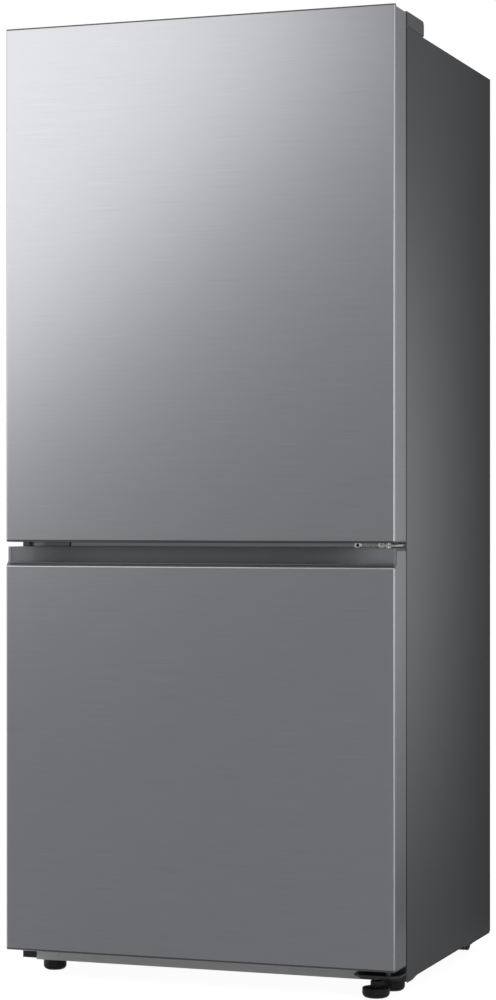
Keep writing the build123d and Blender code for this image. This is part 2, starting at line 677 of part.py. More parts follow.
def kick_plate():
    left = -HALF + KICK_LEFT_INSET
    right = BOTTOM_LEFT - RUNNING_GAP
    face = CASE_FRONT - KICK_THICKNESS
    high = KICK_BOTTOM + KICK_HEIGHT
    end = left + KICK_CLIP_WIDTH
    clip = front_plate(
        [(left, KICK_BOTTOM), (end - KICK_CLIP_SLANT, KICK_BOTTOM), (end, high), (left, high)],
        face - KICK_CLIP,
        face,
    )
    return slab(left, right, face, CASE_FRONT, KICK_BOTTOM, high) + clip


# Hinges

def hinge_pin(z0, z1):
    return post(HINGE_X, HINGE_Y, z0, z1, HINGE_PIN_RADIUS)


def top_screw_places():
    left = HALF - HINGE_INSET + HINGE_ARM_WIDTH / 2 - TOP_PLATE_WIDTH
    back = CASE_FRONT + TOP_RISER_BACK + TOP_PLATE_LENGTH
    inset = 2 * SCREW_HEAD_RADIUS
    right = left + TOP_PLATE_WIDTH
    return [(left + inset, back - inset), (right - inset, back - inset), (left + inset, back - 4 * inset)]


def mid_screw_places():
    left = HALF - MID_ARM_SIDE - MID_PLATE_WIDTH
    return [left + MID_SCREW_INSET, left + MID_SCREW_INSET + MID_SCREW_SPACING]


def bottom_screw_places():
    middle = BOTTOM_LEFT + BOTTOM_PLATE_WIDTH / 2
    return [middle - 2 * SCREW_HEAD_RADIUS, middle + 2 * SCREW_HEAD_RADIUS]


def bottom_screw_z():
    return BOTTOM_PLATE_LOW - BOTTOM_SCREW_DROP


def top_hinge():
    half = HINGE_ARM_WIDTH / 2
    riser = CASE_FRONT + TOP_RISER_BACK
    right = HINGE_X + half
    arm = slab(HINGE_X - half, right, HINGE_Y, riser + HINGE_PLATE, ARM_BOTTOM, ARM_TOP)
    arm += post(HINGE_X, HINGE_Y, ARM_BOTTOM, ARM_TOP, half)
    arm += slab(HINGE_X - half, right, riser, riser + HINGE_PLATE, CASE_TOP, ARM_TOP)
    left = right - TOP_PLATE_WIDTH
    arm += slab(left, right, riser, riser + TOP_PLATE_LENGTH, CASE_TOP, CASE_TOP + HINGE_PLATE)
    arm += hinge_pin(ARM_BOTTOM - BUSH_LENGTH + PIN_SHORT, ARM_BOTTOM)
    for x, y in top_screw_places():
        arm -= post(x, y, CASE_TOP - CUT, CASE_TOP + HINGE_PLATE + CUT, SCREW_HOLE)
    return arm


def top_hinge_cover():
    left = HALF - COVER_WIDTH
    back = CASE_FRONT + COVER_LENGTH
    shell = slab(left, HALF, CASE_FRONT, back, CASE_TOP, DOOR_TOP)
    rear_top = shell.edges().filter_by(Axis.X).group_by(Axis.Z)[-1].sort_by(Axis.Y)[-1]
    left_top = shell.edges().filter_by(Axis.Y).group_by(Axis.Z)[-1].sort_by(Axis.X)[0]
    shell = fillet([rear_top, left_top], COVER_RADIUS)
    wall = COVER_WALL
    void = slab(left + wall, HALF - wall, CASE_FRONT + wall, back - wall, CASE_TOP - CUT, DOOR_TOP - wall)
    rear_in = void.edges().filter_by(Axis.X).group_by(Axis.Z)[-1].sort_by(Axis.Y)[-1]
    left_in = void.edges().filter_by(Axis.Y).group_by(Axis.Z)[-1].sort_by(Axis.X)[0]
    void = fillet([rear_in, left_in], COVER_RADIUS - wall)
    side = HINGE_ARM_WIDTH / 2 + NOTCH_SIDE
    slot = slab(
        HINGE_X - side,
        HINGE_X + side,
        CASE_FRONT - CUT,
        CASE_FRONT + TOP_RISER_BACK + HINGE_PLATE + NOTCH_SIDE,
        ARM_BOTTOM - NOTCH_SIDE,
        DOOR_TOP + CUT,
    )
    depth = COVER_REBATE_DEPTH
    rebate = slab(left - CUT, HALF + CUT, CASE_FRONT - CUT, back + CUT, CASE_TOP - CUT, CASE_TOP + COVER_REBATE)
    rebate -= slab(left + depth, HALF - depth, CASE_FRONT - CUT, back - depth, CASE_TOP - CUT, DOOR_TOP)
    return shell - void - slot - rebate


def mid_hinge():
    right = HALF - MID_ARM_SIDE
    low = MIDDLE - MID_ARM / 2
    high = MIDDLE + MID_ARM / 2
    bracket = slab(right - MID_ARM_WIDTH, right, FRONT + MID_ARM_FRONT, CASE_FRONT, low, high)
    left = right - MID_PLATE_WIDTH
    face = CASE_FRONT - HINGE_PLATE
    plate_low = LOWER_DOOR_TOP + MID_PLATE_GAP
    plate_high = UPPER_DOOR_BOTTOM - MID_PLATE_GAP
    bracket += slab(left, right, face, CASE_FRONT, plate_low, plate_high)
    ear_low = MIDDLE - MID_EAR_HEIGHT / 2
    bracket += slab(left, left + MID_EAR_WIDTH, face, CASE_FRONT, ear_low, ear_low + MID_EAR_HEIGHT)
    pin = BUSH_LENGTH - PIN_SHORT
    bracket += hinge_pin(LOWER_DOOR_TOP - pin, UPPER_DOOR_BOTTOM + pin)
    for x in mid_screw_places():
        bracket -= rod_y(x, MIDDLE, face - CUT, CASE_FRONT + CUT, SCREW_HOLE)
    return bracket


def bottom_hinge():
    right = BOTTOM_RIGHT
    front = FRONT + BOTTOM_PLATE_FRONT
    cut = BOTTOM_PLATE_CUT
    plate = plan_plate(
        [
            (BOTTOM_LEFT, CASE_FRONT),
            (BOTTOM_LEFT, front + cut),
            (BOTTOM_LEFT + cut, front),
            (right - cut, front),
            (right, front + cut),
            (right, CASE_FRONT),
        ],
        BOTTOM_PLATE_LOW,
        BOTTOM_PLATE_TOP,
    )
    high = DOOR_BOTTOM - BOTTOM_FLANGE_GAP
    low = high - BOTTOM_FLANGE_HEIGHT
    plate += slab(BOTTOM_LEFT, right, CASE_FRONT - BOTTOM_PLATE, CASE_FRONT, low, high)
    plate += post(LEG_X, LEG_Y, LEG_BOSS_LOW, BOTTOM_PLATE_TOP, BOSS_RADIUS)
    plate -= post(LEG_X, LEG_Y, LEG_BOSS_LOW - CUT, BOTTOM_PLATE_TOP + CUT, STUD_HOLE)
    plate += hinge_pin(BOTTOM_PLATE_LOW, DOOR_BOTTOM + BUSH_LENGTH - PIN_SHORT)
    for x in bottom_screw_places():
        plate -= rod_y(x, bottom_screw_z(), CASE_FRONT - BOTTOM_PLATE - CUT, CASE_FRONT + CUT, SCREW_HOLE)
    seats = [Pos(x, CASE_FRONT - BOTTOM_PLATE, bottom_screw_z()) for x in bottom_screw_places()]
    return group([plate] + [seat * Rot(90, 0, 0) * screw(BOTTOM_PLATE) for seat in seats])


def screw(shank):
    """Screw along Z: its head stands on z = 0 and its shank hangs below."""
    head = post(0, 0, 0, SCREW_HEAD_HEIGHT, SCREW_HEAD_RADIUS)
    socket = Pos(0, 0, SCREW_HEAD_HEIGHT - SCREW_SOCKET_DEPTH) * extrude(
        RegularPolygon(SCREW_SOCKET_RADIUS, 6), SCREW_SOCKET_DEPTH + CUT
    )
    return head + post(0, 0, -shank, 0, SCREW_SHANK_RADIUS) - socket


def hinge_screws():
    screws = []
    for x, y in top_screw_places():
        screws.append(Pos(x, y, CASE_TOP + HINGE_PLATE) * screw(HINGE_PLATE))
    to_front = Rot(90, 0, 0)
    for x in mid_screw_places():
        screws.append(Pos(x, CASE_FRONT - HINGE_PLATE, MIDDLE) * to_front * screw(HINGE_PLATE))
    return group(screws)


# Feet and rollers

def levelling_foot(x, y, radius, height, stud_top):
    base = post(x, y, 0, height, radius)
    base = fillet(base.edges().filter_by(GeomType.CIRCLE).group_by(Axis.Z)[-1], FOOT_EDGE)
    base = fillet(base.edges().filter_by(GeomType.CIRCLE).group_by(Axis.Z)[0], FOOT_ROUND)
    neck = post(x, y, 0, height + FOOT_NECK_HEIGHT, FOOT_NECK_RADIUS)
    return base + neck + post(x, y, 0, stud_top, STUD_RADIUS)


def roller(x):
    wheel = rod_x(ROLLER_Y, ROLLER_RADIUS, x - ROLLER_WIDTH / 2, x + ROLLER_WIDTH / 2, ROLLER_RADIUS)
    bore = ROLLER_AXLE_RADIUS + PIN_CLEARANCE
    return wheel - rod_x(ROLLER_Y, ROLLER_RADIUS, x - ROLLER_WIDTH, x + ROLLER_WIDTH, bore)


def rear_roller_brackets():
    inner = ROLLER_WIDTH / 2 + ROLLER_SIDE_GAP
    outer = inner + ROLLER_PLATE
    y0 = ROLLER_Y - ROLLER_PLATE_LENGTH / 2
    y1 = ROLLER_Y + ROLLER_PLATE_LENGTH / 2
    top = BASE_TOP - BASE_SHEET
    low = ROLLER_RADIUS - ROLLER_PLATE_BELOW_AXLE
    brackets = []
    for x in (-ROLLER_X, ROLLER_X):
        fork = slab(x - outer, x + outer, y0, y1, low, top)
        fork -= slab(x - inner, x + inner, y0 - CUT, y1 + CUT, low - CUT, top - ROLLER_PLATE)
        brackets.append(fork + rod_x(ROLLER_Y, ROLLER_RADIUS, x - outer, x + outer, ROLLER_AXLE_RADIUS))
    return group(brackets)


# Fridge fittings

def crisper_spans():
    edge = FRIDGE_IN - CRISPER_SIDE_GAP
    middle = CRISPER_MIDDLE_GAP / 2
    return [(-edge, -middle), (middle, edge)]


def crisper(x0, x1):
    low = CRISPER_LOW
    high = CRISPER_HIGH
    back = DUCT_FRONT
    tray = open_tray(x0, x1, CRISPER_FRONT, back, low, high, CRISPER_WALL, CRISPER_FACE, CRISPER_CORNER)
    middle = (x0 + x1) / 2
    bar_top = high - CRISPER_BAR_DROP
    bar = slab(
        middle - CRISPER_BAR_WIDTH / 2,
        middle + CRISPER_BAR_WIDTH / 2,
        CRISPER_FRONT - CRISPER_BAR,
        CRISPER_FRONT + CUT,
        bar_top - CRISPER_BAR_HEIGHT,
        bar_top,
    )
    return tray + bar


def shelf(level):
    return wide_slab(SHELF_HALF, SHELF_FRONT, SHELF_BACK, level, level + SHELF_GLASS)


def shelf_trims():
    strips = []
    for level in (COVER_LEVEL, *SHELF_LEVELS):
        low = level + SHELF_GLASS + TRIM_OVERLAP - TRIM_HEIGHT
        half = FRIDGE_IN - SHELF_RIB - SHELF_SIDE_GAP
        front = wide_slab(half, SHELF_FRONT - TRIM_DEPTH, SHELF_FRONT, low, low + TRIM_HEIGHT)
        strips.append(front)
    return group(strips)


def fridge_air_duct():
    low = COVER_LEVEL + SHELF_GLASS + DUCT_MARGIN
    high = FRIDGE_TOP - DUCT_MARGIN
    duct = wide_slab(DUCT_HALF_WIDTH, DUCT_FRONT, LINER_BACK, low, high)
    half_in = DUCT_HALF_WIDTH - DUCT_WALL
    slots = [wide_slab(half_in, DUCT_FRONT + DUCT_WALL, LINER_BACK + CUT, low + DUCT_WALL, high - DUCT_WALL)]
    for z in spread(low, high, DUCT_SLOT_ROWS):
        for x in (-DUCT_SLOT_X, DUCT_SLOT_X):
            half = DUCT_SLOT_WIDTH / 2
            inside = DUCT_FRONT + DUCT_WALL + CUT
            slots.append(slab(x - half, x + half, DUCT_FRONT - CUT, inside, z, z + DUCT_SLOT_HEIGHT))
    return duct - slots


def ceiling_lamp():
    front = CASE_FRONT + LAMP_FROM_FRONT
    lamp = wide_slab(LAMP_HALF_WIDTH, front, front + LAMP_LENGTH, FRIDGE_TOP - LAMP_HEIGHT, FRIDGE_TOP)
    return chamfer(lamp.faces().sort_by(Axis.Z)[0].edges(), LAMP_HEIGHT / 3)


# Freezer fittings

def drawer_places():
    short = STEP_FRONT - DRAWER_BACK_GAP
    long = EVAP_COVER_FRONT - DRAWER_BACK_GAP
    backs = (short, long, long)
    bottoms = (LOW_DRAWER, MIDDLE_DRAWER, HIGH_DRAWER)
    heights = (LOW_DRAWER_HEIGHT, DRAWER_HEIGHT, DRAWER_HEIGHT)
    return list(zip(bottoms, heights, backs))


def freezer_drawer(bottom, height, back):
    half = FREEZER_IN - DRAWER_RIB - DRAWER_RIB_GAP
    top = bottom + height
    rim = top - DRAWER_RIM_DROP
    body = open_tray(-half, half, DRAWER_FRONT, back, bottom, rim, DRAWER_WALL, DRAWER_FACE, DRAWER_CORNER)
    wide = FREEZER_IN - DRAWER_FACE_SIDE
    body += wide_slab(wide, DRAWER_FRONT, DRAWER_FRONT + DRAWER_FACE, bottom, top)
    low = top - DRAWER_FLANGE_DROP
    out = FREEZER_IN - DRAWER_RIB_GAP
    start = DRAWER_FRONT + DRAWER_FACE
    flange = slab(half - CUT, out, start, back, low, low + DRAWER_FLANGE_HEIGHT)
    bar_top = top - DRAWER_BAR_DROP
    bar = slab(
        -DRAWER_BAR_WIDTH / 2,
        DRAWER_BAR_WIDTH / 2,
        DRAWER_FRONT - DRAWER_BAR,
        DRAWER_FRONT + CUT,
        bar_top - DRAWER_BAR_HEIGHT,
        bar_top,
    )
    return body + both_sides(flange) + bar


def evaporator_cover():
    half = FREEZER_IN - EVAP_COVER_GAP
    top = FREEZER_TOP - EVAP_COVER_GAP
    panel = wide_slab(half, EVAP_COVER_FRONT, EVAP_COVER_BACK, STEP_TOP, top)
    leg = slab(half - EVAP_COVER_LEG, half, EVAP_COVER_FRONT, LINER_BACK, STEP_TOP, top)
    panel += both_sides(leg)
    hole = EVAP_FAN_RADIUS + FAN_TIP_GAP
    return panel - rod_y(0, EVAP_FAN_Z, EVAP_COVER_FRONT - CUT, EVAP_COVER_BACK + CUT, hole)


def evaporator():
    low = STEP_TOP + EVAP_BOTTOM_GAP
    high = EVAP_TOP
    middle = (EVAP_COVER_BACK + LINER_BACK) / 2
    y0 = middle - EVAP_DEPTH / 2
    y1 = middle + EVAP_DEPTH / 2
    pieces = []
    for x in spread(-EVAP_HALF_WIDTH, EVAP_HALF_WIDTH, EVAP_FINS):
        pieces.append(slab(x - EVAP_FIN / 2, x + EVAP_FIN / 2, y0, y1, low, high))
    end = slab(EVAP_HALF_WIDTH - EVAP_FIN, EVAP_HALF_WIDTH, y0, LINER_BACK, low, high)
    pieces += both_sides(end)
    reach = EVAP_HALF_WIDTH + 2 * EVAP_TUBE
    rows = spread(low, high, EVAP_TUBE_ROWS)
    for z in rows:
        pieces.append(rod_x(middle, z, -reach, reach, EVAP_TUBE))
    for i in range(EVAP_TUBE_ROWS - 1):
        side = reach if i % 2 else -reach
        pieces.append(post(side, middle, rows[i], rows[i + 1], EVAP_TUBE))
    return Part() + pieces


def motor_on_arms(shaft, reach, standoff):
    """Motor about Z behind z = 0 with a shaft to -shaft and three legs that end at -standoff."""
    pieces = [post(0, 0, 0, MOTOR_LENGTH, MOTOR_RADIUS), post(0, 0, -shaft, MOTOR_LENGTH, SHAFT_RADIUS)]
    for i in range(3):
        turn = Rot(0, 0, 360 * i / 3 + 90)
        arm = slab(MOTOR_RADIUS - MOTOR_ARM, reach + MOTOR_ARM, -MOTOR_ARM / 2, MOTOR_ARM / 2, 0, MOTOR_ARM)
        leg = slab(reach, reach + MOTOR_ARM, -MOTOR_ARM / 2, MOTOR_ARM / 2, -standoff, MOTOR_ARM)
        pieces += [turn * arm, turn * leg]
    return Part() + pieces


def along_y(y, z):
    """Places a shape made about Z so that its Z runs to the back, along +Y."""
    return Pos(0, y, z) * Rot(-90, 0, 0)


def along_x(x, y, z):
    """Places a shape made about Z so that its Z runs to the right, along +X."""
    return Pos(x, y, z) * Rot(0, 90, 0)


def evaporator_fan_motor():
    start = EVAP_COVER_BACK + FAN_LENGTH + MOTOR_GAP
    shaft = MOTOR_GAP + FAN_LENGTH - 2 * FAN_FLOOR
    motor = motor_on_arms(shaft, EVAP_FAN_REACH, start - EVAP_COVER_BACK)
    return along_y(start, EVAP_FAN_Z) * motor


def evaporator_fan():
    return along_y(EVAP_COVER_BACK, EVAP_FAN_Z) * fan(EVAP_FAN_RADIUS)


# Machine compartment

def compressor_feet():
    x = COMPRESSOR_PLATE_WIDTH / 2 - MOUNT_INSET
    y = COMPRESSOR_PLATE_LENGTH / 2 - MOUNT_INSET
    return [(COMPRESSOR_X + i * x, MACHINE_MIDDLE + j * y) for i in (-1, 1) for j in (-1, 1)]


def compressor_mounts():
    mounts = []
    for x, y in compressor_feet():
        mounts.append(post(x, y, TRAY_TOP, TRAY_TOP + MOUNT_HEIGHT, MOUNT_RADIUS))
    return group(mounts)


def compressor():
    low = TRAY_TOP + MOUNT_HEIGHT
    half_x = COMPRESSOR_PLATE_WIDTH / 2
    half_y = COMPRESSOR_PLATE_LENGTH / 2
    plate = slab(
        COMPRESSOR_X - half_x,
        COMPRESSOR_X + half_x,
        MACHINE_MIDDLE - half_y,
        MACHINE_MIDDLE + half_y,
        low,
        low + COMPRESSOR_PLATE,
    )
    base = low + COMPRESSOR_PLATE - CUT
    can = post(COMPRESSOR_X, MACHINE_MIDDLE, base, base + COMPRESSOR_HEIGHT, COMPRESSOR_RADIUS)
    circles = can.edges().filter_by(GeomType.CIRCLE).sort_by(Axis.Z)
    can = fillet(circles[-1], COMPRESSOR_TOP_ROUND)
    can = fillet(can.edges().filter_by(GeomType.CIRCLE).sort_by(Axis.Z)[0], CUT)
    z = low + PORT_HEIGHT
    reach = COMPRESSOR_RADIUS + PORT_REACH
    ports = rod_x(MACHINE_MIDDLE, z, COMPRESSOR_X - reach, COMPRESSOR_X + reach, PIPE_RADIUS)
    return can + plate + ports


def refrigerant_pipes():
    z = TRAY_TOP + MOUNT_HEIGHT + PORT_HEIGHT
    high = MACHINE_TOP - PIPE_BELOW_ROOF
    y = MACHINE_MIDDLE
    reach = COMPRESSOR_RADIUS + PORT_REACH
    left = COMPRESSOR_X - reach
    right = COMPRESSOR_X + reach
    bend = 2 * PIPE_BEND
    stub = condenser_stub_top()
    inlet_x = CONDENSER_X + CONDENSER_WIDTH / 2
    discharge = pipe([(left, y, z), (left - bend, y, z), (left - bend, y, high), (inlet_x, y, high)])
    drop = post(inlet_x, y, stub, high, PIPE_RADIUS)
    drier_z = (z + high) / 2
    discharge += post(left - bend, y, drier_z - DRIER_LENGTH / 2, drier_z + DRIER_LENGTH / 2, DRIER_RADIUS)
    suction = pipe([(right, y, z), (right + bend, y, z), (right + bend, y, MACHINE_TOP)])
    out_y = y - CONDENSER_LENGTH / 3
    rise = post(inlet_x, out_y, stub, MACHINE_TOP, PIPE_RADIUS)
    return group([discharge + drop, suction, rise])


def condenser_stub_top():
    return CONDENSER_TOP + CONDENSER_STUB


def condenser():
    y0 = MACHINE_MIDDLE - CONDENSER_LENGTH / 2
    y1 = MACHINE_MIDDLE + CONDENSER_LENGTH / 2
    high = CONDENSER_TOP
    right = CONDENSER_X + CONDENSER_WIDTH
    pieces = []
    for y in spread(y0, y1, CONDENSER_FINS):
        pieces.append(slab(CONDENSER_X, right, y - CONDENSER_FIN / 2, y + CONDENSER_FIN / 2, TRAY_TOP, high))
    middle = CONDENSER_X + CONDENSER_WIDTH / 2
    for z in spread(TRAY_TOP, high, CONDENSER_TUBE_ROWS):
        pieces.append(rod_y(middle, z, y0, y1, CONDENSER_TUBE))
    cap = slab(CONDENSER_X, right, y0, y1, high - CONDENSER_FIN, high)
    pieces.append(cap)
    for y in (MACHINE_MIDDLE, MACHINE_MIDDLE - CONDENSER_LENGTH / 3):
        pieces.append(post(middle, y, high - CONDENSER_FIN, condenser_stub_top(), PIPE_RADIUS))
    return Part() + pieces


def condenser_fan_z():
    return TRAY_TOP + SHROUD_HALF


def condenser_fan_shroud():
    x = CONDENSER_FAN_X
    z = condenser_fan_z()
    y0 = MACHINE_MIDDLE - SHROUD_HALF
    y1 = MACHINE_MIDDLE + SHROUD_HALF
    plate = slab(x, x + SHROUD, y0, y1, z - SHROUD_HALF, z + SHROUD_HALF)
    plate -= rod_x(MACHINE_MIDDLE, z, x - CUT, x + SHROUD + CUT, CONDENSER_FAN_RADIUS + FAN_TIP_GAP)
    start = x + SHROUD + FAN_LENGTH + MOTOR_GAP
    shaft = MOTOR_GAP + FAN_LENGTH - 2 * FAN_FLOOR
    reach = CONDENSER_FAN_RADIUS + FAN_TIP_GAP + MOTOR_ARM / 3
    motor = along_x(start, MACHINE_MIDDLE, z) * motor_on_arms(shaft, reach, start - x - SHROUD / 2)
    return plate + motor


def condenser_fan():
    return along_x(CONDENSER_FAN_X + SHROUD, MACHINE_MIDDLE, condenser_fan_z()) * fan(CONDENSER_FAN_RADIUS)


def machine_cover():
    half = FREEZER_OUT - RUNNING_GAP
    low = TRAY_Z
    cover = wide_slab(half, PANEL_FRONT, CASE_BACK, low, MACHINE_TOP - RUNNING_GAP)
    middle = (low + MACHINE_TOP) / 2
    cuts = []
    for i in range(COVER_SLOTS):
        z = middle + (i - (COVER_SLOTS - 1) / 2) * COVER_SLOT_PITCH
        for x in (-COVER_SLOT_X, COVER_SLOT_X):
            cuts.append(
                slab(
                    x - COVER_SLOT_WIDTH / 2,
                    x + COVER_SLOT_WIDTH / 2,
                    PANEL_FRONT - CUT,
                    CASE_BACK + CUT,
                    z - COVER_SLOT_HEIGHT / 2,
                    z + COVER_SLOT_HEIGHT / 2,
                )
            )
    cuts.append(rod_y(INLET_X, INLET_Z, PANEL_FRONT - CUT, CASE_BACK + CUT, INLET_RADIUS))
    return cover - cuts


def power_inlet():
    collar = rod_y(INLET_X, INLET_Z, PANEL_FRONT - INLET_LENGTH, PANEL_FRONT, INLET_RADIUS + INLET_FLANGE)
    neck = rod_y(INLET_X, INLET_Z, PANEL_FRONT - CUT, CASE_BACK, INLET_RADIUS - PIN_CLEARANCE)
    bore = rod_y(INLET_X, INLET_Z, PANEL_FRONT - INLET_LENGTH - CUT, CASE_BACK + CUT, INLET_BORE)
    return collar + neck - bore


# Upper door

def upper_front_band():
    """Strip of the front sheet that stands in front of the top cap's rim."""
    band = door_sheet(DOOR_TOP - TOP_RIM, DOOR_TOP - TOP_RIM_SHOWN)
    return band & wide_slab(HALF, FRONT, FRONT + DOOR_EDGE_RADIUS, DOOR_TOP - TOP_RIM, DOOR_TOP)


def upper_door_skin():
    return door_sheet(UPPER_DOOR_BOTTOM + CAP_RIM, DOOR_TOP - TOP_RIM) + upper_front_band()


def upper_door_top_cap():
    low = DOOR_TOP - TOP_RIM
    cap = door_block(0, low, DOOR_TOP) - upper_front_band()
    cap += door_block(SHEET, low - CAP_PLUG, low, SKIN_BACK)
    left = HINGE_X - HINGE_ARM_WIDTH / 2 - NOTCH_SIDE
    cap -= slab(left, HALF + CUT, HINGE_Y - NOTCH_FRONT, DOOR_BACK + CUT, low, DOOR_TOP + CUT)
    return cap - post(HINGE_X, HINGE_Y, low - BUSH_LENGTH, low + CUT, BUSH_HOLE)


def bottom_cap(low):
    """Lower end cap of a door whose underside is at low."""
    cap = door_block(0, low, low + CAP_RIM)
    cap = fillet(cap.edges().group_by(Axis.Z)[0], CAP_EDGE)
    cap += door_block(SHEET, low + CAP_RIM, low + CAP_RIM + CAP_PLUG, SKIN_BACK)
    return cap - post(HINGE_X, HINGE_Y, low - CUT, low + BUSH_LENGTH, BUSH_HOLE)


def rail_boxes(inset):
    """The two upright rails behind the upper door's liner, drawn in by inset."""
    front = DOOR_LINER_FRONT
    low = RAIL_LOW + inset
    rail = slab(RAIL_IN + inset, RAIL_OUT - inset, front, RAIL_BACK - inset, low, RAIL_HIGH - inset)
    return both_sides(rail)


def upper_door_insulation():
    low = UPPER_DOOR_BOTTOM + CAP_RIM + CAP_PLUG
    high = DOOR_TOP - TOP_RIM - CAP_PLUG
    return door_block(SHEET, low, high, DOOR_LINER_FRONT) + rail_boxes(LINER)


def bin_places():
    bottoms = (LOW_BIN, MIDDLE_BIN, HIGH_BIN)
    return list(zip(bottoms, (LOW_BIN_HEIGHT, MIDDLE_BIN_HEIGHT, HIGH_BIN_HEIGHT)))


def upper_door_liner():
    low = UPPER_DOOR_BOTTOM + CAP_RIM + CAP_PLUG
    high = DOOR_TOP - TOP_RIM - CAP_PLUG
    sheet = wide_slab(DOOR_IN, DOOR_LINER_FRONT, SKIN_BACK, low, high)
    liner = sheet + rail_boxes(0)
    liner -= rail_boxes(LINER)
    lugs = []
    for bottom, _ in bin_places():
        y0 = SKIN_BACK + BIN_LUG_BACK
        y1 = y0 + BIN_LUG_LENGTH
        lug = slab(RAIL_IN - BIN_LUG_WIDTH, RAIL_IN + LINER / 2, y0, y1, bottom - BIN_LUG_HEIGHT, bottom)
        lugs += both_sides(lug)
    return liner + lugs


def upper_door_gasket():
    low = MIDDLE + GASKET_TO_MIDDLE
    high = CASE_TOP - GASKET_BELOW_CASE_TOP
    return ring(HALF - GASKET_INSET, low, high, GASKET_WIDTH, SKIN_BACK, CASE_FRONT - RUNNING_GAP)


def upper_door_bushes():
    top = DOOR_TOP - TOP_RIM
    return group([bush(top - BUSH_LENGTH, top), bush(UPPER_DOOR_BOTTOM, UPPER_DOOR_BOTTOM + BUSH_LENGTH)])


def door_bin(bottom, height):
    half = RAIL_IN - RUNNING_GAP
    y0 = SKIN_BACK + RUNNING_GAP
    return open_tray(-half, half, y0, y0 + BIN_DEPTH, bottom, bottom + height, BIN_WALL, BIN_WALL, BIN_CORNER)


# Lower door

def lip_fold():
    """Top of the lower door's front sheet, folded back over the grip."""
    outer = door_block(0, LIP - LIP_BAND, LIP)
    outer = fillet(outer.edges().group_by(Axis.Z)[-1], LIP_FOLD)
    inner = door_block(SHEET, LIP - LIP_BAND - CUT, LIP - SHEET)
    inner = fillet(inner.edges().group_by(Axis.Z)[-1], LIP_FOLD - SHEET)
    return (outer - inner) & lip_zone()


def lip_zone():
    return wide_slab(HALF, FRONT, FRONT + DOOR_EDGE_RADIUS, LIP - LIP_BAND, LIP)


def lower_door_skin():
    skin = door_sheet(DOOR_BOTTOM + CAP_RIM, LIP) - lip_zone() + lip_fold()
    step = FRONT + GRIP_SETBACK
    top = LOWER_DOOR_TOP - CHEEK_DROP
    cheek = side_plate(
        [
            (FRONT + DOOR_EDGE_RADIUS, LIP),
            (step, LIP + GRIP_SLOPE),
            (step, top),
            (DOOR_BACK, top),
            (DOOR_BACK, LIP),
        ],
        DOOR_IN,
        HALF,
    )
    cheek = fillet(cheek.edges().filter_by(Axis.X).group_by(Axis.Z)[-1].sort_by(Axis.Y)[0], CHEEK_CORNER)
    hem = slab(HALF - DOOR_HEM, DOOR_IN, SKIN_BACK, DOOR_BACK, LIP, top)
    return skin + both_sides(cheek) + both_sides(hem)


def lower_door_grip_cap():
    low = LIP - GRIP_CAP_DEPTH
    ledge = LIP - LIP_FOLD
    step = FRONT + GRIP_SETBACK
    block = wide_slab(DOOR_IN, step - GRIP_POST_STAND, SKIN_BACK, low, LOWER_DOOR_TOP)
    block += door_block(SHEET, low, ledge, SKIN_BACK)
    end = DOOR_IN - GRIP_POST
    lip_back = FRONT + SHEET + GRIP_LIP
    back_wall = ThreePointArc((end, step), (0, step + GRIP_SAG), (-end, step))
    sides = Polyline((-end, step), (-end, lip_back), (end, lip_back), (end, step))
    pocket = extrude(make_face([back_wall, *sides.edges()]), LOWER_DOOR_TOP + CUT - LIP + GRIP_POCKET_DEPTH)
    block -= Pos(0, 0, LIP - GRIP_POCKET_DEPTH) * pocket
    nose_low = LIP + NOSE_GAP
    nose_top = nose_low + NOSE_HEIGHT
    nose = wide_slab(end, lip_back - NOSE_DEPTH, lip_back, nose_low, nose_top)
    nose = fillet(nose.edges().filter_by(Axis.X).group_by(Axis.Y)[0], NOSE_EDGE)
    block += wide_slab(end, lip_back - NOSE_WALL, lip_back, ledge - CUT, nose_top) + nose
    return block - post(HINGE_X, HINGE_Y, LOWER_DOOR_TOP - BUSH_LENGTH, LOWER_DOOR_TOP + CUT, BUSH_HOLE)


def lower_door_insulation():
    low = DOOR_BOTTOM + CAP_RIM + CAP_PLUG
    return door_block(SHEET, low, LIP - GRIP_CAP_DEPTH, DOOR_LINER_FRONT)


def lower_door_liner():
    low = DOOR_BOTTOM + CAP_RIM + CAP_PLUG
    high = LIP - GRIP_CAP_DEPTH
    sheet = wide_slab(DOOR_IN, DOOR_LINER_FRONT, SKIN_BACK, low, high)
    half = HALF - PAD_INSET
    pad = wide_slab(half, SKIN_BACK - LINER, SKIN_BACK + PAD_HEIGHT, low + PAD_INSET, high - PAD_INSET)
    return sheet + pad


def lower_door_gasket():
    low = CASE_BOTTOM + BASE_HEIGHT + GASKET_ABOVE_BASE
    high = MIDDLE - GASKET_TO_MIDDLE
    return ring(HALF - GASKET_INSET, low, high, GASKET_WIDTH, SKIN_BACK, CASE_FRONT - RUNNING_GAP)


def lower_door_bushes():
    lower = bush(DOOR_BOTTOM, DOOR_BOTTOM + BUSH_LENGTH)
    return group([bush(LOWER_DOOR_TOP - BUSH_LENGTH, LOWER_DOOR_TOP), lower])


# Every piece by its name

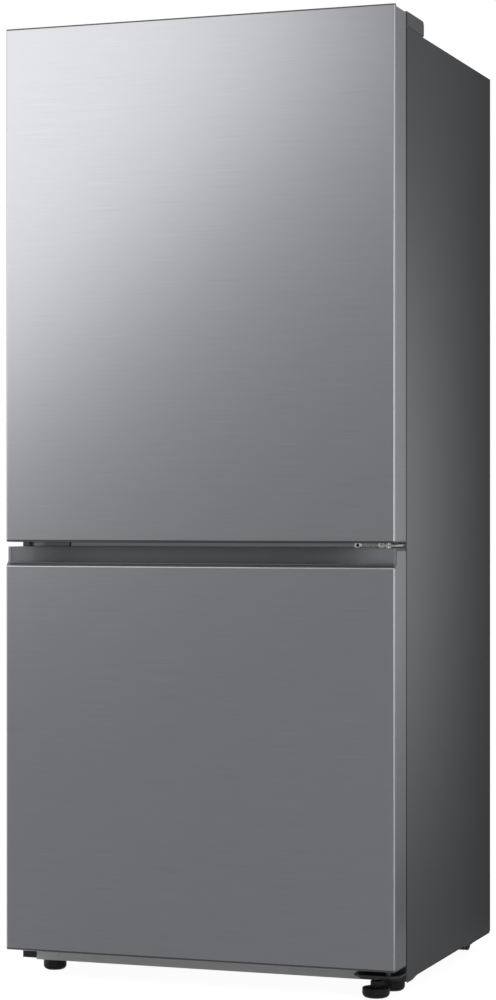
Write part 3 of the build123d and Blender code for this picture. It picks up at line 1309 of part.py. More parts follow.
def pieces():
    left_crisper, right_crisper = crisper_spans()
    lower_place, middle_place, upper_place = drawer_places()
    foot = (FOOT_Y, FOOT_RADIUS, FOOT_HEIGHT, BASE_TOP - STUD_SHORT)
    leg = (LEG_FOOT_RADIUS, LEG_FOOT_HEIGHT, BOTTOM_PLATE_TOP - STUD_SHORT)
    low_bin, middle_bin, high_bin = bin_places()
    return {
        "outer_case": outer_case(),
        "rear_panel": rear_panel(),
        "base_frame": base_frame(),
        "cabinet_insulation": cabinet_insulation(),
        "fridge_liner": fridge_liner(),
        "freezer_liner": freezer_liner(),
        "mullion_cover": mullion_cover(),
        "spare_hinge_caps": spare_hinge_caps(),
        "kick_plate": kick_plate(),
        "top_hinge": top_hinge(),
        "top_hinge_cover": top_hinge_cover(),
        "mid_hinge": mid_hinge(),
        "bottom_hinge": bottom_hinge(),
        "hinge_screws": hinge_screws(),
        "rear_roller_brackets": rear_roller_brackets(),
        "lower_shelf": shelf(SHELF_LEVELS[0]),
        "upper_shelf": shelf(SHELF_LEVELS[1]),
        "crisper_cover": shelf(COVER_LEVEL),
        "shelf_trims": shelf_trims(),
        "fridge_air_duct": fridge_air_duct(),
        "ceiling_lamp": ceiling_lamp(),
        "evaporator_cover": evaporator_cover(),
        "evaporator": evaporator(),
        "evaporator_fan_motor": evaporator_fan_motor(),
        "compressor": compressor(),
        "compressor_mounts": compressor_mounts(),
        "refrigerant_pipes": refrigerant_pipes(),
        "condenser": condenser(),
        "condenser_fan_shroud": condenser_fan_shroud(),
        "machine_cover": machine_cover(),
        "power_inlet": power_inlet(),
        "upper_door_skin": upper_door_skin(),
        "upper_door_top_cap": upper_door_top_cap(),
        "upper_door_bottom_cap": bottom_cap(UPPER_DOOR_BOTTOM),
        "upper_door_insulation": upper_door_insulation(),
        "upper_door_liner": upper_door_liner(),
        "upper_door_gasket": upper_door_gasket(),
        "upper_door_bushes": upper_door_bushes(),
        "lower_door_bin": door_bin(*low_bin),
        "middle_door_bin": door_bin(*middle_bin),
        "upper_door_bin": door_bin(*high_bin),
        "lower_door_skin": lower_door_skin(),
        "lower_door_grip_cap": lower_door_grip_cap(),
        "lower_door_bottom_cap": bottom_cap(DOOR_BOTTOM),
        "lower_door_insulation": lower_door_insulation(),
        "lower_door_liner": lower_door_liner(),
        "lower_door_gasket": lower_door_gasket(),
        "lower_door_bushes": lower_door_bushes(),
        "left_crisper": crisper(*left_crisper),
        "right_crisper": crisper(*right_crisper),
        "lower_freezer_drawer": freezer_drawer(*lower_place),
        "middle_freezer_drawer": freezer_drawer(*middle_place),
        "upper_freezer_drawer": freezer_drawer(*upper_place),
        "evaporator_fan": evaporator_fan(),
        "condenser_fan": condenser_fan(),
        "left_front_foot": levelling_foot(-FOOT_X, *foot),
        "right_front_foot": levelling_foot(FOOT_X, *foot),
        "hinge_leg_foot": levelling_foot(LEG_X, LEG_Y, *leg),
        "left_rear_roller": roller(-ROLLER_X),
        "right_rear_roller": roller(ROLLER_X),
    }


os.makedirs("parts", exist_ok=True)
for name, shape in pieces().items():
    export_step(shape, os.path.join("parts", name + ".step"))
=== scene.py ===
"""Looks of a free-standing refrigerator: brushed doors, painted case, moulded fittings.

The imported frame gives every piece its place. This file gives each one its finish, and makes the moulded and
rubber pieces whose shape is finer than their solid.
"""

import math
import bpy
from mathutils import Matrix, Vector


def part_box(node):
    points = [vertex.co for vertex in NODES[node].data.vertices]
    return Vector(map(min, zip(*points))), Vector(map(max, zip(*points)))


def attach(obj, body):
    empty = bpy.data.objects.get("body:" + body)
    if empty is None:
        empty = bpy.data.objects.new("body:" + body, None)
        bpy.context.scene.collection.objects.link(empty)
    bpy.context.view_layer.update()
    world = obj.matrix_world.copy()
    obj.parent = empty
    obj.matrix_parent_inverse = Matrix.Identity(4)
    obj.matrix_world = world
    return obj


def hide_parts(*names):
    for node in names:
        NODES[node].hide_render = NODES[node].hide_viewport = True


bl_info = {
    "name": "Two-door refrigerator",
    "version": (1, 0, 0),
    "blender": (4, 5, 0),
    "location": "3D View > Sidebar > Refrigerator",
    "description": "Finishes and fine pieces for a refrigerator with its freezer below",
    "category": "Object",
}

import bmesh
import bpy
from bpy.props import FloatProperty, FloatVectorProperty, PointerProperty
from bpy.types import Operator, Panel, PropertyGroup
from mathutils import Matrix, Quaternion, Vector

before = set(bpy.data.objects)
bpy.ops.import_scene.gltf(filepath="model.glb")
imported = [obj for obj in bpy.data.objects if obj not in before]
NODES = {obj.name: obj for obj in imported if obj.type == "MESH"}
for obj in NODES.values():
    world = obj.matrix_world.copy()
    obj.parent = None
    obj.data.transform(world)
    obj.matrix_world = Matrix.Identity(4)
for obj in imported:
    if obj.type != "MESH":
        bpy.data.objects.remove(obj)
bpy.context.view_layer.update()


# Sizes and colours that a user would change

def shade_of(name, value, words):
    return FloatVectorProperty(
        name=name, description=words, default=value, size=3, min=0.0, max=1.0, subtype="COLOR"
    )


def length_of(name, value, words):
    return FloatProperty(name=name, description=words, default=value, unit="LENGTH", precision=4)


class FridgeColours(PropertyGroup):
    """Base colours, by the names of the finishes."""

    steel: shade_of("Steel", (0.257, 0.261, 0.271), "Brushed sheet on the doors")
    grey_paint: shade_of("Case paint", (0.075, 0.077, 0.08), "Painted sides and top of the case")
    strip_paint: shade_of("Base strip", (0.52, 0.525, 0.53), "Kick plate")
    zinc_sheet: shade_of("Zinc sheet", (0.52, 0.53, 0.54), "Rear panel and machine cover")
    black_steel: shade_of("Black steel", (0.008, 0.008, 0.0085), "Base frame and bottom hinge")
    hinge_steel: shade_of("Hinge steel", (0.42, 0.42, 0.415), "Top and middle hinges")
    screw_steel: shade_of("Screw steel", (0.88, 0.88, 0.87), "Screws of the hinges")
    mullion_steel: shade_of("Mullion", (0.22, 0.223, 0.229), "Steel strip behind the gap of the doors")
    foam: shade_of("Foam", (0.78, 0.70, 0.46), "Insulation of the case and the doors")
    white_liner: shade_of("Liner", (0.80, 0.81, 0.82), "White moulded walls inside")
    grey_plastic: shade_of("Grey plastic", (0.055, 0.057, 0.061), "Top cap and cover of the top hinge")
    grip_plastic: shade_of("Grip", (0.09, 0.092, 0.096), "Metallic paint on the grip of the lower door")
    cap_plastic: shade_of("Spare strip", (0.13, 0.132, 0.137), "Dark end of the strip beside the spare cap")
    block_plastic: shade_of("Spare cap", (0.02, 0.02, 0.021), "Spare cap and bottom caps of the doors")
    black_plastic: shade_of("Black plastic", (0.004, 0.004, 0.0045), "Feet, rollers, bushes and fans")
    gasket_rubber: shade_of("Rubber", (0.15, 0.153, 0.157), "Seals round the doors, mounts and power inlet")
    shelf_glass: shade_of("Shelf glass", (0.83, 0.92, 0.89), "Shelves")
    clear_plastic: shade_of("Clear plastic", (0.93, 0.95, 0.96), "Bins and drawers")
    trim_plastic: shade_of("Shelf trim", (0.62, 0.63, 0.645), "Strips on the front of the shelves")
    lamp_lens: shade_of("Lamp lens", (0.92, 0.93, 0.93), "Ceiling lamp")
    bare_aluminium: shade_of("Aluminium", (0.70, 0.71, 0.72), "Evaporator and condenser")
    black_iron: shade_of("Black iron", (0.016, 0.016, 0.017), "Compressor")
    copper: shade_of("Copper", (0.72, 0.34, 0.20), "Refrigerant pipes")


class FridgeSizes(PropertyGroup):
    """Sizes of the pieces that are made here."""

    pocket: length_of("Pocket", 0.034, "How far the middle of the finger pocket lies behind its ends")
    pocket_run: length_of("Pocket run", 0.2, "Length over which the pocket's wall curves at each end")
    gasket_width: length_of("Gasket width", 0.018, "Width of a seal")
    gasket_fold: length_of("Gasket fold", 0.004, "How far the pleat of a seal is drawn in")
    foot_height: length_of("Foot height", 0.026, "Height of the pad of a front foot")
    foot_collar: length_of("Foot collar", 0.009, "Radius of the six-sided collar on a front foot")
    foot_rise: length_of("Foot collar rise", 0.003, "Height of that collar above the pad")
    leg_height: length_of("Leg height", 0.0185, "Height of the pad under the bottom hinge")
    leg_collar: length_of("Leg collar", 0.0105, "Radius of the six-sided collar under the bottom hinge")
    leg_rise: length_of("Leg collar rise", 0.012, "Height of that collar above the pad")
    collar_edge: length_of("Collar edge", 0.0006, "Rounding of a collar's edges")
    foot_round: length_of("Foot rounding", 0.009, "Rounding under the pad of a foot")
    foot_brim: length_of("Foot brim", 0.002, "Rounding of the pad's upper edge")
    foot_notch: length_of("Foot notch", 0.001, "Depth of the notches round a levelling foot")
    stud: length_of("Stud", 0.005, "Radius of a foot's threaded stud")
    stud_tip: length_of("Stud tip", 0.004, "Radius of the stud's top")
    pitch: length_of("Pitch", 0.0016, "Pitch of the stud's thread")
    tread: length_of("Tread", 0.0012, "Depth of the grooves in a roller's tread")
    shoulder: length_of("Roller shoulder", 0.002, "Rounding of a roller's shoulders")
    bore: length_of("Roller bore", 0.0043, "Radius of the hole in a roller")
    border: length_of("Field border", 0.03, "Flat border round the pressed fields in the rear panel")
    slope: length_of("Field slope", 0.0025, "Width of the slope round a pressed field")
    bead: length_of("Field depth", 0.0007, "Depth of a pressed field")


class FridgeEdges(PropertyGroup):
    """Roundings of the edges."""

    sheet: length_of("Sheet", 0.0004, "Hinges and roller brackets")
    thin: length_of("Thin wall", 0.0005, "Grip cap and kick plate")
    door: length_of("Door", 0.0006, "Door sheets, top cap and spare caps")
    cover: length_of("Cover", 0.0008, "Cover of the top hinge, power inlet and shelves")
    tray: length_of("Tray", 0.0009, "Bins, crispers and drawers")
    trim: length_of("Shelf trim", 0.002, "Strips on the front of the shelves")
    duct: length_of("Duct", 0.0025, "Air duct and evaporator cover")
    lamp: length_of("Lamp", 0.003, "Ceiling lamp")
    door_liner: length_of("Door liner", 0.004, "Moulded walls inside the doors")
    liner: length_of("Liner", 0.008, "Inward corners of the liners in the case")


class FridgeStage(PropertyGroup):
    """Camera and light."""

    lens: FloatProperty(name="Lens", description="Focal length", default=94.32, unit="CAMERA")
    place: FloatVectorProperty(
        name="Camera place",
        description="Where the camera stands",
        default=(1.6963, -4.8156, 0.8716),
        subtype="TRANSLATION",
    )
    turn: FloatProperty(
        name="Camera turn", description="Turn to the left", default=math.radians(19.603), subtype="ANGLE"
    )
    rise: FloatProperty(name="Frame rise", description="Vertical shift of the frame", default=0.01405)
    key: FloatProperty(name="Key light", description="Power of the panel at the upper left", default=38.0)
    spin: FloatProperty(
        name="Key spin", description="Turn of the key panel in its own plane", default=0.8145, subtype="ANGLE"
    )
    side: FloatProperty(name="Side light", description="Power of the panel on the right", default=2.65)
    top: FloatProperty(name="Top light", description="Power of the panel overhead", default=12.0)
    room: FloatProperty(name="Room light", description="Strength of the light all round", default=0.38)


def colours():
    return bpy.context.scene.fridge_colours


def sizes():
    return bpy.context.scene.fridge_sizes


def edges():
    return bpy.context.scene.fridge_edges


# Shader nodes

# Places of a Mix node's two inputs and its output, by the kind of data
MIX_PLACES = {"FLOAT": (2, 3, 0), "RGBA": (6, 7, 2)}


def put(tree, kind, inputs=None, **settings):
    """Adds a shader node, sets its options, and fills its inputs with values or links."""
    node = tree.nodes.new("ShaderNode" + kind)
    for key, value in settings.items():
        setattr(node, key, value)
    for key, value in (inputs or {}).items():
        if isinstance(value, bpy.types.NodeSocket):
            tree.links.new(value, node.inputs[key])
        else:
            node.inputs[key].default_value = value
    return node


def noise(tree, vector, scale, detail=2.0, rough=0.5):
    inputs = {"Vector": vector, "Scale": scale, "Detail": detail, "Roughness": rough}
    return put(tree, "TexNoise", inputs).outputs["Fac"]


def maths(tree, operation, first, second):
    return put(tree, "Math", {0: first, 1: second}, operation=operation).outputs[0]


def blend(tree, factor, low, high, kind="FLOAT"):
    """Mix of two numbers, or of two colours where the kind is RGBA."""
    first, second, result = MIX_PLACES[kind]
    return put(tree, "Mix", {0: factor, first: low, second: high}, data_type=kind).outputs[result]


def stretched(tree, value, low, high, least, most):
    """Value that runs from least to most as another runs from low to high."""
    inputs = {"Value": value, "From Min": low, "From Max": high, "To Min": least, "To Max": most}
    return put(tree, "MapRange", inputs).outputs[0]


# Grains, which several finishes share

def begin_group(name, values):
    """Empty shader group with the given number inputs and the outputs that every grain has."""
    tree = bpy.data.node_groups.new(name, "ShaderNodeTree")
    for label, value in values.items():
        socket = tree.interface.new_socket(label, in_out="INPUT", socket_type="NodeSocketFloat")
        socket.default_value = value
    for label in ("Shade", "Height"):
        tree.interface.new_socket(label, in_out="OUTPUT", socket_type="NodeSocketFloat")
    entry = tree.nodes.new("NodeGroupInput").outputs
    place = put(tree, "TexCoord").outputs["Object"]
    return tree, entry, place


def end_group(tree, shade, height):
    leave = tree.nodes.new("NodeGroupOutput")
    tree.links.new(shade, leave.inputs["Shade"])
    tree.links.new(height, leave.inputs["Height"])


def make_brushed_grain():
    """Fine level hairlines with a few longer scratches.

    Across counts the lines per metre upwards, and Along sideways.
    """
    tree, entry, place = begin_group("brushed_grain", {"Across": 700.0, "Along": 14.0})
    counts = put(tree, "CombineXYZ", {"X": entry["Along"], "Y": entry["Along"], "Z": entry["Across"]})
    lines = put(tree, "VectorMath", {0: place, 1: counts.outputs[0]}, operation="MULTIPLY").outputs[0]
    hair = noise(tree, lines, scale=1.0, detail=3.0, rough=0.7)
    coarse = noise(tree, lines, scale=0.6, detail=0.0)
    dark = stretched(tree, coarse, 0.24, 0.34, least=0.1, most=0.5)
    light = stretched(tree, coarse, 0.68, 0.78, least=0.0, most=0.4)
    scratch = maths(tree, "ADD", dark, light)
    end_group(tree, blend(tree, 0.5, hair, scratch), hair)


def make_moulded_grain():
    """Fine spark-eroded skin of moulded plastic, with a slow drift of tone."""
    tree, entry, place = begin_group("moulded_grain", {"Scale": 1500.0})
    skin = noise(tree, place, entry["Scale"], detail=2.0, rough=0.6)
    drift = noise(tree, place, scale=7.0, detail=3.0, rough=0.5)
    end_group(tree, blend(tree, 0.5, skin, drift), skin)


def make_paint_peel():
    """Low waves of sprayed or rolled paint."""
    tree, entry, place = begin_group("paint_peel", {"Scale": 320.0})
    peel = noise(tree, place, entry["Scale"], detail=1.0, rough=0.4)
    drift = noise(tree, place, scale=3.2, detail=3.0, rough=0.55)
    end_group(tree, blend(tree, 0.75, peel, drift), peel)


def make_zinc_spangle():
    """Crystal patches of galvanised sheet."""
    tree, entry, place = begin_group("zinc_spangle", {"Scale": 90.0})
    cells = put(tree, "TexVoronoi", {"Vector": place, "Scale": entry["Scale"]})
    tone = put(tree, "RGBToBW", {"Color": cells.outputs["Color"]}).outputs[0]
    fine = noise(tree, place, scale=240.0, detail=3.0, rough=0.6)
    end_group(tree, blend(tree, 0.3, tone, fine), fine)


GRAINS = {
    "brushed_grain": make_brushed_grain,
    "moulded_grain": make_moulded_grain,
    "paint_peel": make_paint_peel,
    "zinc_spangle": make_zinc_spangle,
}


# Finishes

FINISHES = {
    "steel": dict(
        grain="brushed_grain", rough=0.287, shade=0.11, swing=0.015, bump=0.05, depth=0.0002, Metallic=1.0
    ),
    "grey_paint": dict(
        grain="paint_peel", rough=0.55, shade=0.05, bump=0.06, depth=0.0003, Specular_IOR_Level=0.2
    ),
    "strip_paint": dict(grain="paint_peel", rough=0.45, shade=0.05, bump=0.06, depth=0.0003),
    "zinc_sheet": dict(grain="zinc_spangle", rough=0.42, shade=0.14, bump=0.04, Metallic=1.0),
    "black_steel": dict(grain="paint_peel", rough=0.45, shade=0.1, values={"Scale": 600.0}),
    "hinge_steel": dict(grain="zinc_spangle", rough=0.28, shade=0.08, values={"Scale": 400.0}, Metallic=1.0),
    "screw_steel": dict(grain="zinc_spangle", rough=0.22, shade=0.05, values={"Scale": 700.0}, Metallic=1.0),
    "mullion_steel": dict(grain="paint_peel", rough=0.16, shade=0.04, bump=0.03, Metallic=1.0),
    "foam": dict(grain="moulded_grain", rough=0.9, shade=0.2, bump=0.6, values={"Scale": 380.0}),
    "white_liner": dict(grain="moulded_grain", rough=0.32, shade=0.02, values={"Scale": 700.0}),
    "grey_plastic": dict(grain="moulded_grain", rough=0.45, shade=0.08),
    "grip_plastic": dict(grain="moulded_grain", rough=0.4, shade=0.05, Metallic=1.0),
    "cap_plastic": dict(grain="moulded_grain", rough=0.16, shade=0.06, Metallic=1.0),
    "block_plastic": dict(grain="moulded_grain", rough=0.2, shade=0.1, Specular_IOR_Level=0.9),
    "black_plastic": dict(grain="moulded_grain", rough=0.5, shade=0.15, Specular_IOR_Level=0.2),
    "gasket_rubber": dict(grain="moulded_grain", rough=0.62, shade=0.07, values={"Scale": 900.0}),
    "shelf_glass": dict(
        grain="moulded_grain", rough=0.06, shade=0.01, swing=0.03, bump=0.0, values={"Scale": 30.0},
        Transmission_Weight=1.0, IOR=1.52,
    ),
    "clear_plastic": dict(
        grain="moulded_grain", rough=0.14, shade=0.02, bump=0.03, values={"Scale": 500.0},
        Transmission_Weight=0.9, IOR=1.46,
    ),
    "trim_plastic": dict(grain="moulded_grain", rough=0.3, shade=0.04, values={"Scale": 900.0}),
    "lamp_lens": dict(
        grain="brushed_grain", rough=0.3, shade=0.03, bump=0.2, values={"Across": 40.0, "Along": 260.0},
        Transmission_Weight=0.35,
    ),
    "bare_aluminium": dict(
        grain="brushed_grain", rough=0.38, shade=0.08, values={"Across": 260.0}, Metallic=1.0
    ),
    "black_iron": dict(grain="paint_peel", rough=0.38, shade=0.12, bump=0.12),
    "copper": dict(grain="moulded_grain", rough=0.3, shade=0.12, values={"Scale": 160.0}, Metallic=1.0),
}


def make_finish(
    name, colour, grain, rough, shade, swing=0.04, bump=0.1, depth=0.0004, values=None, **sockets
):
    """Material whose colour, roughness and bump follow one grain.

    The grain moves the colour by a share, shade, and the roughness by swing. The values go to the grain's own
    inputs, and the sockets are the shader's.
    """
    if grain not in bpy.data.node_groups:
        GRAINS[grain]()
    made = bpy.data.materials.new(name)
    made.use_nodes = True
    tree = made.node_tree
    shader = tree.nodes["Principled BSDF"]
    source = put(tree, "Group", values, node_tree=bpy.data.node_groups[grain]).outputs
    dark = (*(c * (1 - shade) for c in colour), 1.0)
    light = (*(min(c * (1 + shade), 1.0) for c in colour), 1.0)
    tone = blend(tree, source["Shade"], dark, light, "RGBA")
    tree.links.new(tone, shader.inputs["Base Color"])
    gloss = stretched(tree, source["Shade"], 0.0, 1.0, least=rough - swing, most=rough + swing)
    tree.links.new(gloss, shader.inputs["Roughness"])
    relief = put(tree, "Bump", {"Height": source["Height"], "Strength": bump, "Distance": depth})
    tree.links.new(relief.outputs[0], shader.inputs["Normal"])
    for label, value in sockets.items():
        shader.inputs[label.replace("_", " ")].default_value = value
    return made


def coat(finish):
    """Material of a finish, made at its first use."""
    name = finish + "_finish"
    if name in bpy.data.materials:
        return bpy.data.materials[name]
    return make_finish(name, getattr(colours(), finish), **FINISHES[finish])


def dress(finish, *names):
    """Gives CAD nodes a finish."""
    for name in names:
        slots = NODES[name].data.materials
        if not slots:
            slots.append(coat(finish))
        for index in range(len(slots)):
            slots[index] = coat(finish)


def recoat(made, finish, chosen):
    """Gives the faces of a piece that a test chooses another finish."""
    made.data.materials.append(coat(finish))
    for face in made.data.polygons:
        if chosen(face):
            face.material_index = len(made.data.materials) - 1


# Making pieces

# Corners nearer than this are one, and faces that turn by less are flat
SAME_POINT = 1e-6
SAME_PLANE = math.radians(0.2)

# Edges whose faces turn by more are rounded
SHARP = math.radians(35)


def piece(name, shape, body, finish, node, bend):
    """Turns a bmesh into a piece that stands for a CAD node and rides on a body.

    It is smooth where its faces meet at less than bend degrees.
    """
    mesh = bpy.data.meshes.new(name)
    shape.to_mesh(mesh)
    shape.free()
    mesh.materials.append(coat(finish))
    mesh.shade_smooth()
    mesh.set_sharp_from_angle(angle=math.radians(bend))
    made = bpy.data.objects.new(name, mesh)
    bpy.context.scene.collection.objects.link(made)
    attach(made, body)
    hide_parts(node)
    return made


def joined(node):
    """Copy of a CAD node's shape with its triangles joined at their corners."""
    shape = bmesh.new()
    shape.from_mesh(NODES[node].data)
    bmesh.ops.remove_doubles(shape, verts=shape.verts, dist=SAME_POINT)
    return shape


def merged(node):
    """Copy of a CAD node's shape with the pieces of each flat face joined."""
    shape = joined(node)
    bmesh.ops.dissolve_limit(shape, angle_limit=SAME_PLANE, verts=shape.verts, edges=shape.edges)
    return shape


def slice_at(shape, normal, places):
    """Cuts a shape's faces along planes at the given distances from the origin."""
    for place in places:
        whole = shape.verts[:] + shape.edges[:] + shape.faces[:]
        bmesh.ops.bisect_plane(shape, geom=whole, plane_co=place * Vector(normal), plane_no=normal)


def round_off(shape, chosen, width):
    """Rounds edges of a shape."""
    bmesh.ops.bevel(
        shape, geom=chosen, offset=width, offset_type="OFFSET", segments=2, profile=0.5, affect="EDGES",
        clamp_overlap=True, material=-1,
    )


def soften(node, body, finish, width, hollow=False, shape=None):
    """Piece with a CAD node's shape and rounded edges: the sharp ones, or a hollow's inward corners."""
    shape = shape or merged(node)
    sharp = [edge for edge in shape.edges if edge.is_manifold and edge.calc_face_angle() > SHARP]
    if hollow:
        sharp = [edge for edge in sharp if not edge.is_convex]
    round_off(shape, sharp, width)
    made = piece(node + "_soft", shape, body, finish, node, bend=50.0)
    made.modifiers.new("even_shading", "WEIGHTED_NORMAL").keep_sharp = True
    return made


# Seals

# Side of a seal's section from the door forward: (share of the fold, share of the depth)
PLEAT = ((0.0, 0.0), (0.0, 0.16), (0.45, 0.28), (1.25, 0.45), (0.5, 0.6), (0.5, 0.9))

# Shares of the depth: how far the shoulder is drawn in, where it lies, and where the rear hollow lies
SHOULDER_INSET = 0.1
SHOULDER_LEVEL = 0.97
HOLLOW_LEVEL = 0.03


def rectangle_loop(shape, low, high, depth):
    """Upright four-sided loop of edges at y = depth, from the (x, z) corner low to high."""
    middle = Matrix.Translation(((low[0] + high[0]) / 2, depth, (low[1] + high[1]) / 2))
    upright = Matrix.Rotation(math.radians(90), 4, "X")
    stretch = Matrix.Diagonal((high[0] - low[0], high[1] - low[1], 1.0, 1.0))
    corner = Matrix.Rotation(math.radians(45), 4, "Z")
    made = bmesh.ops.create_circle(
        shape, segments=4, radius=math.sqrt(0.5), matrix=middle @ upright @ stretch @ corner
    )
    return list({edge for vert in made["verts"] for edge in vert.link_edges})


def gasket_profile(width, depth, fold):
    """Pleated section with a crowned face: (distance in from the outer edge, share of the depth)."""
    side = [(inset * fold, share) for inset, share in PLEAT]
    shoulder = (side[-1][0] + SHOULDER_INSET * depth, SHOULDER_LEVEL)
    half = [*side, shoulder]
    crown = (width / 2, 1.0)
    hollow = (width / 2, HOLLOW_LEVEL)
    return [*half, crown, *((width - inset, share) for inset, share in reversed(half)), hollow]


def make_gasket(node, body):
    """Pleated rubber ring in the room of a seal's solid."""
    low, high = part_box(node)
    depth = high.y - low.y
    shape = bmesh.new()
    loops = []
    for inset, share in gasket_profile(sizes().gasket_width, depth, sizes().gasket_fold):
        near = (low.x + inset, low.z + inset)
        far = (high.x - inset, high.z - inset)
        loops.append(rectangle_loop(shape, near, far, low.y + share * depth))
    for index, loop in enumerate(loops):
        bmesh.ops.bridge_loops(shape, edges=loops[index - 1] + loop)
    bmesh.ops.recalc_face_normals(shape, faces=shape.faces)
    return piece(node + "_pleated", shape, body, "gasket_rubber", node, bend=25.0)


# Turned pieces

# Sides of a turned piece, and how many of them lie from one notch of a foot to the next
TURNED_SIDES = 48
NOTCH_STEP = 3

# Points nearer than this to a pad's side are on it
PAD_SIDE = 1e-4

# Depth of a thread as a share of its pitch
THREAD_DEPTH = 0.35

# Section of a roller. Groove: (share of half the width, share of the groove's depth).
# Hollow of its side: (share of the radius, share of half the width).
ROLLER_GROOVE = ((0.2, 0), (0.28, 1), (0.42, 1), (0.5, 0))
ROLLER_HOLLOW = ((0.72, 1.0), (0.68, 0.86), (0.4, 0.86), (0.36, 1.0))


def lathe(shape, profile):
    """Turned solid about the upright axis, from (radius, height) points, added to a shape."""
    verts = [shape.verts.new((radius, 0.0, height)) for radius, height in profile]
    line = [shape.edges.new(pair) for pair in zip(verts, verts[1:])]
    bmesh.ops.spin(
        shape, geom=verts + line, cent=(0, 0, 0), axis=(0, 0, 1), angle=math.tau, steps=TURNED_SIDES,
        use_merge=True,
    )
    bmesh.ops.remove_doubles(shape, verts=shape.verts, dist=SAME_POINT)


def round_corner(middle, radius, start, steps):
    """Points of a quarter circle in (radius, height), from an angle in degrees."""
    angles = [math.radians(start + 90 * step / steps) for step in range(steps + 1)]
    return [(middle[0] + radius * math.cos(a), middle[1] + radius * math.sin(a)) for a in angles]


def thread(low, high):
    """Ridges of a threaded stud between two heights."""
    crest = sizes().stud
    pitch = sizes().pitch
    points = []
    for turn in range(int((high - low) / pitch)):
        points.append((crest - THREAD_DEPTH * pitch, low + turn * pitch))
        points.append((crest, low + (turn + 0.5) * pitch))
    return points


def make_foot(node, height, collar, rise):
    """Levelling foot: notched pad with a rounded sole, six-sided collar above it, threaded stud."""
    size = sizes()
    brim = size.foot_brim
    low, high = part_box(node)
    radius = (high.x - low.x) / 2
    shape = bmesh.new()
    sole = round_corner((radius - size.foot_round, size.foot_round), size.foot_round, -90, steps=6)
    edge = round_corner((radius - brim, height - brim), brim, 0, steps=3)
    stem = [*thread(height, high.z), (size.stud_tip, high.z), (0.0, high.z)]
    lathe(shape, [(0.0, 0.0), *sole, *edge, *stem])
    notch = 1 - size.foot_notch / radius
    for vert in shape.verts:
        side = math.hypot(vert.co.x, vert.co.y) > radius - PAD_SIDE
        column = round(math.atan2(vert.co.y, vert.co.x) * TURNED_SIDES / math.tau)
        if side and column % NOTCH_STEP == 0:
            bmesh.ops.scale(shape, verts=[vert], vec=(notch, notch, 1))
    nut = bmesh.ops.create_cone(
        shape, cap_ends=True, segments=6, radius1=collar, radius2=collar, depth=rise + brim,
        matrix=Matrix.Translation((0, 0, height + (rise - brim) / 2)),
    )
    rims = {edge for vert in nut["verts"] for edge in vert.link_edges}
    round_off(shape, list(rims), size.collar_edge)
    bmesh.ops.recalc_face_normals(shape, faces=shape.faces)
    bmesh.ops.translate(shape, verts=shape.verts, vec=((low.x + high.x) / 2, (low.y + high.y) / 2, 0))
    return piece(node + "_turned", shape, node + "_body", "black_plastic", node, bend=35.0)


def make_roller(node):
    """Rear roller with rounded shoulders and two grooves round its tread."""
    size = sizes()
    low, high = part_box(node)
    radius = (high.z - low.z) / 2
    half = (high.x - low.x) / 2
    tread = [(radius - deep * size.tread, half * share) for share, deep in ROLLER_GROOVE]
    wall = round_corner((radius - size.shoulder, half - size.shoulder), size.shoulder, 0, steps=4)
    hollow = [(radius * out, half * share) for out, share in ROLLER_HOLLOW]
    side = [*tread, *wall, *hollow, (size.bore, half)]
    ring = [(r, -h) for r, h in reversed(side)] + side
    shape = bmesh.new()
    lathe(shape, [*ring, ring[0]])
    bmesh.ops.recalc_face_normals(shape, faces=shape.faces)
    lying = Matrix.Rotation(math.radians(90), 3, "Y")
    bmesh.ops.rotate(shape, verts=shape.verts, cent=(0, 0, 0), matrix=lying)
    bmesh.ops.translate(shape, verts=shape.verts, vec=(low + high) / 2)
    return piece(node + "_turned", shape, node + "_body", "black_plastic", node, bend=30.0)


# Pieces with a form of their own

# Normals past these point backward or forward
BACKWARD = 0.9
FORWARD = -0.5

# Finger pocket of the solid grip cap: where its wall starts behind the cap's front, how far the wall bows
# back, the cheek at each end, and how near to the wall a point on it lies
POCKET_START = 0.011
POCKET_BOW = 0.026
POCKET_CHEEK = 0.005
POCKET_WALL = 0.0004

# Slices of half the pocket, and the power of its curve
POCKET_SLICES = 40
POCKET_POWER = 3

# Middle spare cap: width of its block, and length of the light part of the strip beside it
SPARE_BLOCK = 0.023
SPARE_LIGHT = 0.019

# Screws of the mid hinge: how far they lie from its left end, and a radius that takes in the socket alone,
# where shade is painted
SCREW_PLACES = (0.0075, 0.0525)
SOCKET_RADIUS = 0.0031


def make_rear_panel():
    """Rear sheet with two fields pressed in between its flat borders."""
    size = sizes()
    border = size.border
    low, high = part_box("rear_panel")
    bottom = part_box("machine_cover")[1].z + border
    top = high.z - border
    fields = ((low.x + border, -border / 2), (border / 2, high.x - border))
    shape = merged("rear_panel")
    slice_at(shape, (1, 0, 0), [edge for field in fields for edge in field])
    slice_at(shape, (0, 0, 1), [bottom, top])
    for left, right in fields:
        pressed = []
        for face in shape.faces:
            middle = face.calc_center_median()
            if face.normal.y > BACKWARD and left < middle.x < right and bottom < middle.z < top:
                pressed.append(face)
        bmesh.ops.inset_region(
            shape, faces=pressed, thickness=size.slope, depth=-size.bead, use_even_offset=True
        )
    return piece("rear_panel_pressed", shape, "cabinet", "zinc_sheet", "rear_panel", bend=1.0)


